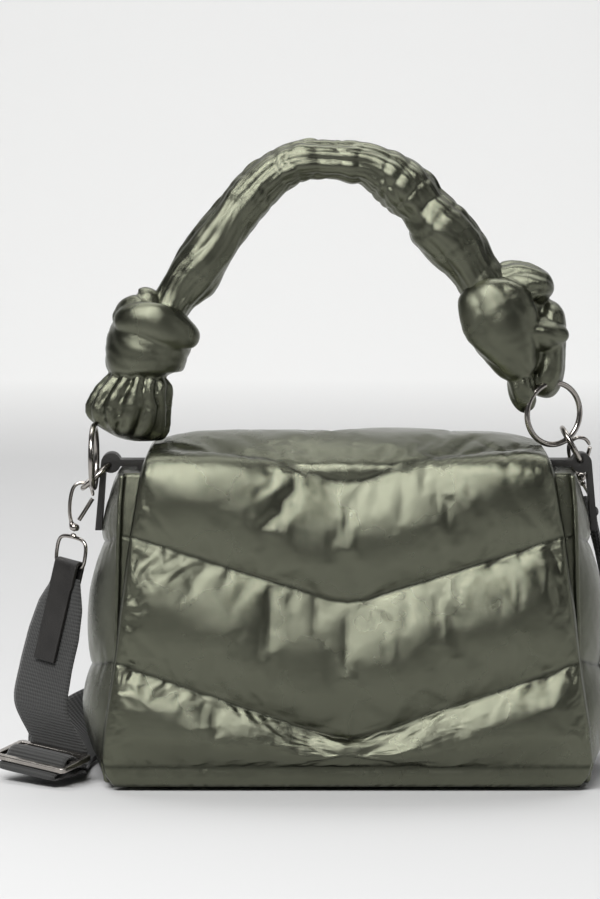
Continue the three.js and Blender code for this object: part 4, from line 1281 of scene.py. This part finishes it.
class Handle:
    """The padded arch and its two knots."""

    STRAND_SIDES = 56
    STRAND_STEPS = 60
    STRAND_CLOSE = 0.16
    KNOT_VOXEL = 0.9
    KNOT_FILL = 0.9

    def __init__(self, sizes: HandleSizes) -> None:
        self.sizes = sizes

    def make_arch(self, materials: Materials) -> bpy.types.Object:
        """Sweeps the arch with its lengthwise folds and scrunched stretches."""
        sizes = self.sizes
        rows = catmull_rom(ARCH_SECTIONS, np.linspace(0, len(ARCH_SECTIONS) - 1, sizes.steps))
        level = np.zeros(len(rows))
        centres = np.stack([rows[:, 0] * sizes.half_span, level, rows[:, 1] * sizes.top], axis=1)
        lean = np.radians(rows[:, 3])
        across = np.stack([-np.sin(lean), level, np.cos(lean)], axis=1)
        other = np.tile([0, 1.0, 0], (len(rows), 1))
        run = np.concatenate([[0], np.cumsum(np.linalg.norm(np.diff(centres, axis=0), axis=1))])
        turn = 2 * np.pi * np.arange(sizes.sides) / sizes.sides
        s, t = np.meshgrid(run, turn, indexing="ij")
        drift = 1.1 * value_noise(s / 26, np.zeros_like(s), 5)
        folds = ridge(3.5 * t + 0.022 * s + drift) - 0.6
        narrow = ridge(6.5 * t - 0.035 * s + 2 * drift) - 0.6
        scrunch = ARCH_LEAST_SCRUNCH + sum(
            strength * np.exp(-(((s - share * run[-1]) / spread) ** 2))
            for share, spread, strength in ARCH_SCRUNCHES
        )
        crumple = 1.6 * np.sin(t + 0.3) + 1.8 * value_noise(s / 9, t * 1.2, 8)
        gathers = (ridge(s / 3.4 + crumple) - 0.6) * scrunch
        soft = value_noise(s / 13, t * 1.6, 9)
        half = rows[:, 2][:, None] * sizes.girth / 2
        half = half + sizes.wide_folds * folds + sizes.narrow_folds * narrow + sizes.gathers * gathers
        half = half + sizes.softness * soft
        points, quads, caps = tube(centres, across, other, np.stack([half, half], axis=-1))
        made = make_mesh("handle_padded", points, quads, caps, no_seams(len(points)))
        attach(made, materials.nylon, ["handle_arch"])
        return made

    def strand(self, strand: Strand, seed: int) -> tuple[Grid, Grid, list[list[int]]]:
        """Sweeps one strand of a knot, with round ends and folds along it."""
        rows = even_curve(np.array(strand.rows, dtype=float), self.STRAND_STEPS)
        run_direction = unit(np.gradient(rows[:, :3], axis=0))
        turn = np.radians(rows[:, 5])
        across = np.stack([np.cos(turn), np.zeros(len(turn)), np.sin(turn)], axis=1)
        across = unit(across - run_direction * np.sum(across * run_direction, axis=1, keepdims=True))
        other = np.cross(run_direction, across)
        share = np.linspace(0, 1, len(rows))
        close = np.clip(np.minimum(share, 1 - share) / self.STRAND_CLOSE, 0, 1)
        close = np.sqrt(np.clip(1 - (1 - close) ** 2, 0.03, 1))
        turns = 2 * np.pi * np.arange(self.STRAND_SIDES) / self.STRAND_SIDES
        u, t = np.meshgrid(share, turns, indexing="ij")
        fold = ridge(strand.folds * t / 2 + strand.twist * 6 * u + 0.9 * value_noise(u * 5, t, seed)) - 0.62
        cross = ridge(u * 24 + 2 * value_noise(u * 6, t * 1.5, seed + 1)) - 0.62
        ripple = 1 + 1.5 * strand.depth * fold + 0.018 * cross
        radii = rows[:, None, 3:5] / 2 * (close[:, None] * ripple)[..., None]
        return tube(rows[:, :3], across, other, radii)

    def make_knot(self, side: Side, strands: Sequence[Strand], materials: Materials) -> bpy.types.Object:
        """Joins a knot's strands into one padded form."""
        parts, quads, caps, offset = [], [], [], 0
        for number, strand in enumerate(strands):
            points, faces, ends = self.strand(strand, 50 + number)
            parts.append(points)
            quads.append(faces + offset)
            caps += [[index + offset for index in end] for end in ends]
            offset += len(points)
        name = f"knot_{side.word}_padded"
        made = make_mesh(name, np.concatenate(parts), np.concatenate(quads), caps)
        merge = made.modifiers.new("Remesh", "REMESH")
        merge.mode = "VOXEL"
        merge.voxel_size = self.KNOT_VOXEL * MM
        soften = made.modifiers.new("Smooth", "SMOOTH")
        soften.factor = 0.5
        soften.iterations = 3
        baked = bpy.data.meshes.new_from_object(made.evaluated_get(bpy.context.evaluated_depsgraph_get()))
        made.modifiers.clear()
        made.data = baked
        baked.name = name
        smooth_shade(baked)
        add_fields(baked, no_seams(len(baked.vertices)))
        attach(made, materials.nylon, [f"knot_{side.word}_band", f"knot_{side.word}_tail"])
        return made


def make_ring(ring: Ring, materials: Materials) -> None:
    """Builds a smooth round wire ring in place of its CAD node."""
    turn = 2 * np.pi * np.arange(RING_SEGMENTS) / RING_SEGMENTS
    across, upward = np.array(ring.across), np.array(ring.upward)
    out = np.cos(turn)[:, None] * across + np.sin(turn)[:, None] * upward
    normal = np.cross(across, upward)
    roll = 2 * np.pi * np.arange(WIRE_SIDES) / WIRE_SIDES
    points = (
        np.array(ring.centre)
        + out[:, None] * (ring.radius + ring.wire * np.cos(roll))[None, :, None]
        + normal * (ring.wire * np.sin(roll))[None, :, None]
    )
    quads = grid_quads(RING_SEGMENTS, WIRE_SIDES, wrap_rows=True, wrap_columns=True)
    made = make_mesh(f"{ring.node}_wire", points.reshape(-1, 3), quads)
    attach(made, materials.metal, [ring.node])


def soften_node(frame: dict, node: str, material: bpy.types.Material, bevel: float, levels: int,
                body: str = BAG) -> None:
    """Stands a rounded copy of a CAD node in its place.

    Args:
        frame: The loaded frame.
        node: The CAD node's name.
        material: Its finish.
        bevel: Width of its rounded edges in millimetres, or 0 for none.
        levels: Levels of subdivision.
        body: The body that it moves with.
    """
    source = frame["nodes"][node]
    mesh = source.data.copy()
    tidy = bmesh.new()
    tidy.from_mesh(mesh)
    bmesh.ops.remove_doubles(tidy, verts=tidy.verts, dist=NODE_MERGE_DISTANCE)
    bmesh.ops.dissolve_limit(tidy, angle_limit=FLAT_ANGLE, verts=tidy.verts, edges=tidy.edges)
    bmesh.ops.recalc_face_normals(tidy, faces=tidy.faces)
    tidy.to_mesh(mesh)
    tidy.free()
    made = place_object(f"{node}_smooth", mesh)
    if bevel:
        rounding = made.modifiers.new("Bevel", "BEVEL")
        rounding.width = bevel * MM
        rounding.segments = 3
        rounding.limit_method = "ANGLE"
        rounding.angle_limit = EDGE_ANGLE
    if levels:
        finer = made.modifiers.new("Subdivision", "SUBSURF")
        finer.levels = levels
        finer.render_levels = levels
    smooth_shade(mesh)
    attach(made, material, [node], body)


def strip_rows(places: Grid, across: Grid, width: Grid | float = 1.0) -> Grid:
    """Joins places, width directions and width shares into rows of seven columns."""
    count = len(places)
    widths = np.broadcast_to(np.reshape(width, (-1, 1)), (count, 1))
    return np.hstack([places, np.broadcast_to(across, (count, 3)), widths])


class Strap:
    """One length of webbing: round the back to the right clip, round its bar, and back as a second layer."""

    NUDGE = 0.003

    def __init__(self, sizes: StrapSizes, body: BodySizes) -> None:
        self.sizes = sizes
        self.body = body
        self.slider = (
            turned("Z", sizes.slider_turn) @ turned("Y", sizes.slider_drop) @ turned("X", sizes.slider_tilt)
        )

    def loop_bar(self, clip: Clip) -> tuple[Grid, Grid]:
        """The middle of a clip's lower bar, and the direction that the bar runs in."""
        ring, turn = clip.ring, math.radians(clip.ring_turn)
        out = np.array(ring.across) * math.cos(turn) + np.array(ring.upward) * math.sin(turn)
        frame = turned("X", clip.back) @ turned("Y", clip.lean) @ turned("Z", clip.spin)
        bar = np.array(LOOP_BAR) + [clip.shift, 0, clip.lift]
        middle = np.array(ring.centre) + out * ring.radius + frame @ bar
        return middle, frame @ turned("Z", clip.loop_turn)[:, 0]

    def woven(self, turns: Sequence[tuple[float, float]]) -> Grid:
        """Stations of the webbing where it passes through the slider."""
        near, up = np.array(turns, dtype=float).T
        places = np.stack([np.zeros_like(near), near, -up], axis=1) @ self.slider.T
        return strip_rows(places + self.sizes.slider_centre, self.slider[:, 0])

    def hanging(self) -> Grid:
        """Stations from the left leather end down to and through the slider."""
        sizes = self.sizes
        middle, along = self.loop_bar(LEFT_CLIP)
        lean = math.radians(sizes.lean)
        off = unit(np.cross([-math.sin(lean), 0, -math.cos(lean)], along))
        down = sizes.start + GATHER[:, :1] * sizes.tongue
        gathered = strip_rows(middle + unit(np.cross(along, off)) * down, along, GATHER[:, 1])
        weave = self.woven(SLIDER_WEAVE)
        bowed = (gathered[-1:, :3] + weave[:1, :3]) / 2 + sizes.bow
        return np.vstack([gathered, strip_rows(bowed, unit(along + self.slider[:, 0])), weave])

    def layers(self, hanging: Grid) -> tuple[Grid, Grid]:
        """Stations of the layer behind the bag that goes out, and of the one inside it that comes back."""
        scale = [self.body.width / 2, self.body.depth / 2, self.sizes.width]
        route = np.hstack([STRAP_ROUTE[:, :3] * scale, unit(STRAP_ROUTE[:, 3:6]), STRAP_ROUTE[:, 6:]])
        way = np.vstack([hanging, route])
        at = stations_along(way[:, :3], self.sizes.route_step)
        at = at[at >= len(hanging)]
        ahead = centripetal(way[:, :3], np.minimum(at + self.NUDGE, len(way) - 1))
        run = ahead - centripetal(way[:, :3], at - self.NUDGE)
        across = unit(centripetal(way[:, 3:6], at))
        width = np.interp(at, np.arange(len(way)), way[:, 6])
        inner = strip_rows(centripetal(way[:, :3], at), across, width)
        outer = inner.copy()
        outer[:, :3] += unit(np.cross(run, across)) * self.sizes.layer_pitch
        return outer, inner[::-1]

    def turn_back(self, last: Grid) -> Grid:
        """Stations round the right clip's lower bar, from the place where the layers leave it."""
        middle, along = self.loop_bar(RIGHT_CLIP)
        up = unit(middle - last - along * (middle - last).dot(along))
        off = unit(np.cross(up, -along))
        turn = np.radians(LOOP_TURN)[:, None]
        places = middle + (off * np.cos(turn) + up * np.sin(turn)) * self.sizes.loop_reach
        return strip_rows(places, -along, self.sizes.loop_gather)

    def stations(self) -> Grid:
        """Every station of the webbing: place, direction of its width, and the share of its full width."""
        hanging = self.hanging()
        outer, inner = self.layers(hanging)
        return np.vstack([hanging, outer, self.turn_back(inner[0, :3]), inner, self.woven(SEWN_END)])

    def make_webbing(self, materials: Materials) -> bpy.types.Object:
        """Lays the webbing along its stations, slightly pleated where it is gathered."""
        sizes = self.sizes
        stations = self.stations()
        spans = np.linalg.norm(np.diff(stations[:, :3], axis=0), axis=1)
        at = stations_along(stations[:, :3], sizes.step, least=2)
        rows = centripetal(stations, at, spans)
        places, across = rows[:, :3], unit(rows[:, 3:6])
        off = unit(np.cross(unit(np.gradient(places, axis=0)), across))
        run = np.concatenate([[0], np.cumsum(np.linalg.norm(np.diff(places, axis=0), axis=1))])
        share = np.linspace(-1, 1, sizes.columns)
        width = np.interp(at, np.arange(len(stations)), stations[:, 6])
        gathered = np.clip(1 - width, 0, 1)[:, None]
        fade = np.clip(run / sizes.start, 0, 1)[:, None]
        pleat = sizes.pleat * gathered * np.cos(3 * np.pi * share)[None] * fade
        thickness = sizes.thickness / 2 * (1 - sizes.edge_thinning * share**6)
        reach = share[None] * width[:, None] * sizes.width / 2
        line = places[:, None] + across[:, None] * reach[..., None]
        top = line + off[:, None] * (thickness[None] + pleat)[..., None]
        bottom = line + off[:, None] * (pleat - thickness[None])[..., None]
        rings = np.concatenate([top, bottom[:, ::-1]], axis=1)
        count, columns = rings.shape[:2]
        lay = np.concatenate([share, share[::-1]]) * sizes.width / 2
        fields = {
            "run": np.broadcast_to(run[:, None], (count, columns)),
            "across": np.broadcast_to(lay[None], (count, columns)),
        }
        caps = [list(range(columns)), list(range((count - 1) * columns, count * columns))]
        quads = grid_quads(count, columns, wrap_columns=True)
        made = make_mesh("webbing_strap", rings.reshape(-1, 3), quads, caps, fields)
        return attach(made, materials.webbing, ["webbing"])


@dataclass(frozen=True)
class Softbox:
    """A rectangular light: its place, the point that it faces, its size in metres and its power in watts."""

    name: str
    place: tuple[float, float, float]
    target: tuple[float, float, float]
    size: tuple[float, float]
    power: float


SOFTBOXES = (
    Softbox("key", (-0.5, -1.05, 1.3), (0, 0, 0.17), (1.25, 0.6), 34),
    Softbox("top", (0.0, 0.6, 1.9), (0, 0.3, 0.0), (2.6, 1.0), 12),
    Softbox("fill", (1.7, -0.4, 0.45), (0, 0, 0.15), (0.3, 1.2), 3),
    Softbox("backdrop", (0, 0.9, 2.6), (0, 2.3, 0.5), (3.4, 1.2), 48),
)


@dataclass(frozen=True)
class Studio:
    """The camera's place in metres and degrees, the floor's shape in millimetres, and the surround."""

    aim: tuple[float, float, float] = (-0.024, 0.0, 0.1695)
    elevation: float = 5.5
    distance: float = 1.8
    lens: float = 139.0
    floor_half_width: float = 4500
    floor_front: float = -4000
    floor_bend: float = 1600
    floor_round: float = 900
    backdrop_top: float = 4200
    surround: Colour = (0.95, 0.97, 1.0, 1)
    surround_strength: float = 0.05

    def make_camera(self) -> None:
        """Sets the camera at the photograph's angle."""
        camera = bpy.data.cameras.new("studio_camera")
        camera.lens = self.lens
        camera.sensor_width = 36
        camera.sensor_fit = "AUTO"
        camera.clip_end = 50
        holder = place_object("studio_camera", camera)
        rise = math.radians(self.elevation)
        away = Vector((0, -math.cos(rise), math.sin(rise))) * self.distance
        holder.location = Vector(self.aim) + away
        holder.rotation_euler = (-away).to_track_quat("-Z", "Y").to_euler()
        bpy.context.scene.camera = holder

    def make_light(self, box: Softbox) -> None:
        """Adds one softbox that faces its target."""
        light = bpy.data.lights.new(box.name, "AREA")
        light.shape = "RECTANGLE"
        light.size, light.size_y = box.size
        light.energy = box.power
        holder = place_object(box.name, light)
        holder.location = box.place
        holder.rotation_euler = (Vector(box.target) - Vector(box.place)).to_track_quat("-Z", "Y").to_euler()

    def make_floor(self) -> None:
        """Builds the pale floor that curves up into a backdrop."""
        turn = np.linspace(0, math.pi / 2, 24)
        bend, radius = self.floor_bend, self.floor_round
        curve = [(bend + radius * math.sin(a), radius - radius * math.cos(a)) for a in turn[1:]]
        profile = [(self.floor_front, 0), (bend, 0)] + curve + [(bend + radius, self.backdrop_top)]
        x = np.linspace(-self.floor_half_width, self.floor_half_width, 3)
        points = np.array([[(column, row[0], row[1]) for column in x] for row in profile])
        floor = make_mesh("studio_floor", points.reshape(-1, 3), grid_quads(len(profile), len(x)))
        floor.data.materials.append(floor_material(FloorFinish()))

    def make_world(self) -> None:
        """Sets a soft grey surround."""
        world = bpy.data.worlds.new("studio")
        world.use_nodes = True
        background = world.node_tree.nodes["Background"]
        background.inputs["Color"].default_value = self.surround
        background.inputs["Strength"].default_value = self.surround_strength
        bpy.context.scene.world = world

    def make(self) -> None:
        """Builds the whole studio."""
        self.make_camera()
        self.make_floor()
        self.make_world()
        for box in SOFTBOXES:
            self.make_light(box)
        bpy.context.scene.view_settings.view_transform = "Standard"


def main() -> None:
    """Builds the bag over its frame."""
    logging.basicConfig(level=logging.INFO)
    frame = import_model()
    Studio().make()
    materials = Materials.make()
    Flap(FLAP, BODY).make(materials)
    body = Body(BODY)
    body.make(materials)
    body.make_piping(materials)
    handle = Handle(HANDLE)
    handle.make_arch(materials)
    handle.make_knot(Side.LEFT, LEFT_KNOT, materials)
    handle.make_knot(Side.RIGHT, RIGHT_KNOT, materials)
    for ring in RINGS:
        make_ring(ring, materials)
    for side in Side:
        soften_node(frame, f"tab_{side.word}", materials.leather, 0.6, 0)
        soften_node(frame, f"clip_hook_{side.word}", materials.metal, 0, 1)
        soften_node(frame, f"clip_loop_{side.word}", materials.metal, 0, 1)
        soften_node(frame, f"clip_gate_{side.word}", materials.metal, 0.2, 0, f"gate_{side.word}")
    soften_node(frame, "strap_end_left", materials.leather, 0.4, 0)
    soften_node(frame, "slider", materials.metal, 0.7, 0)
    Strap(StrapSizes(), BODY).make_webbing(materials)


if __name__ == "__main__":
    main()
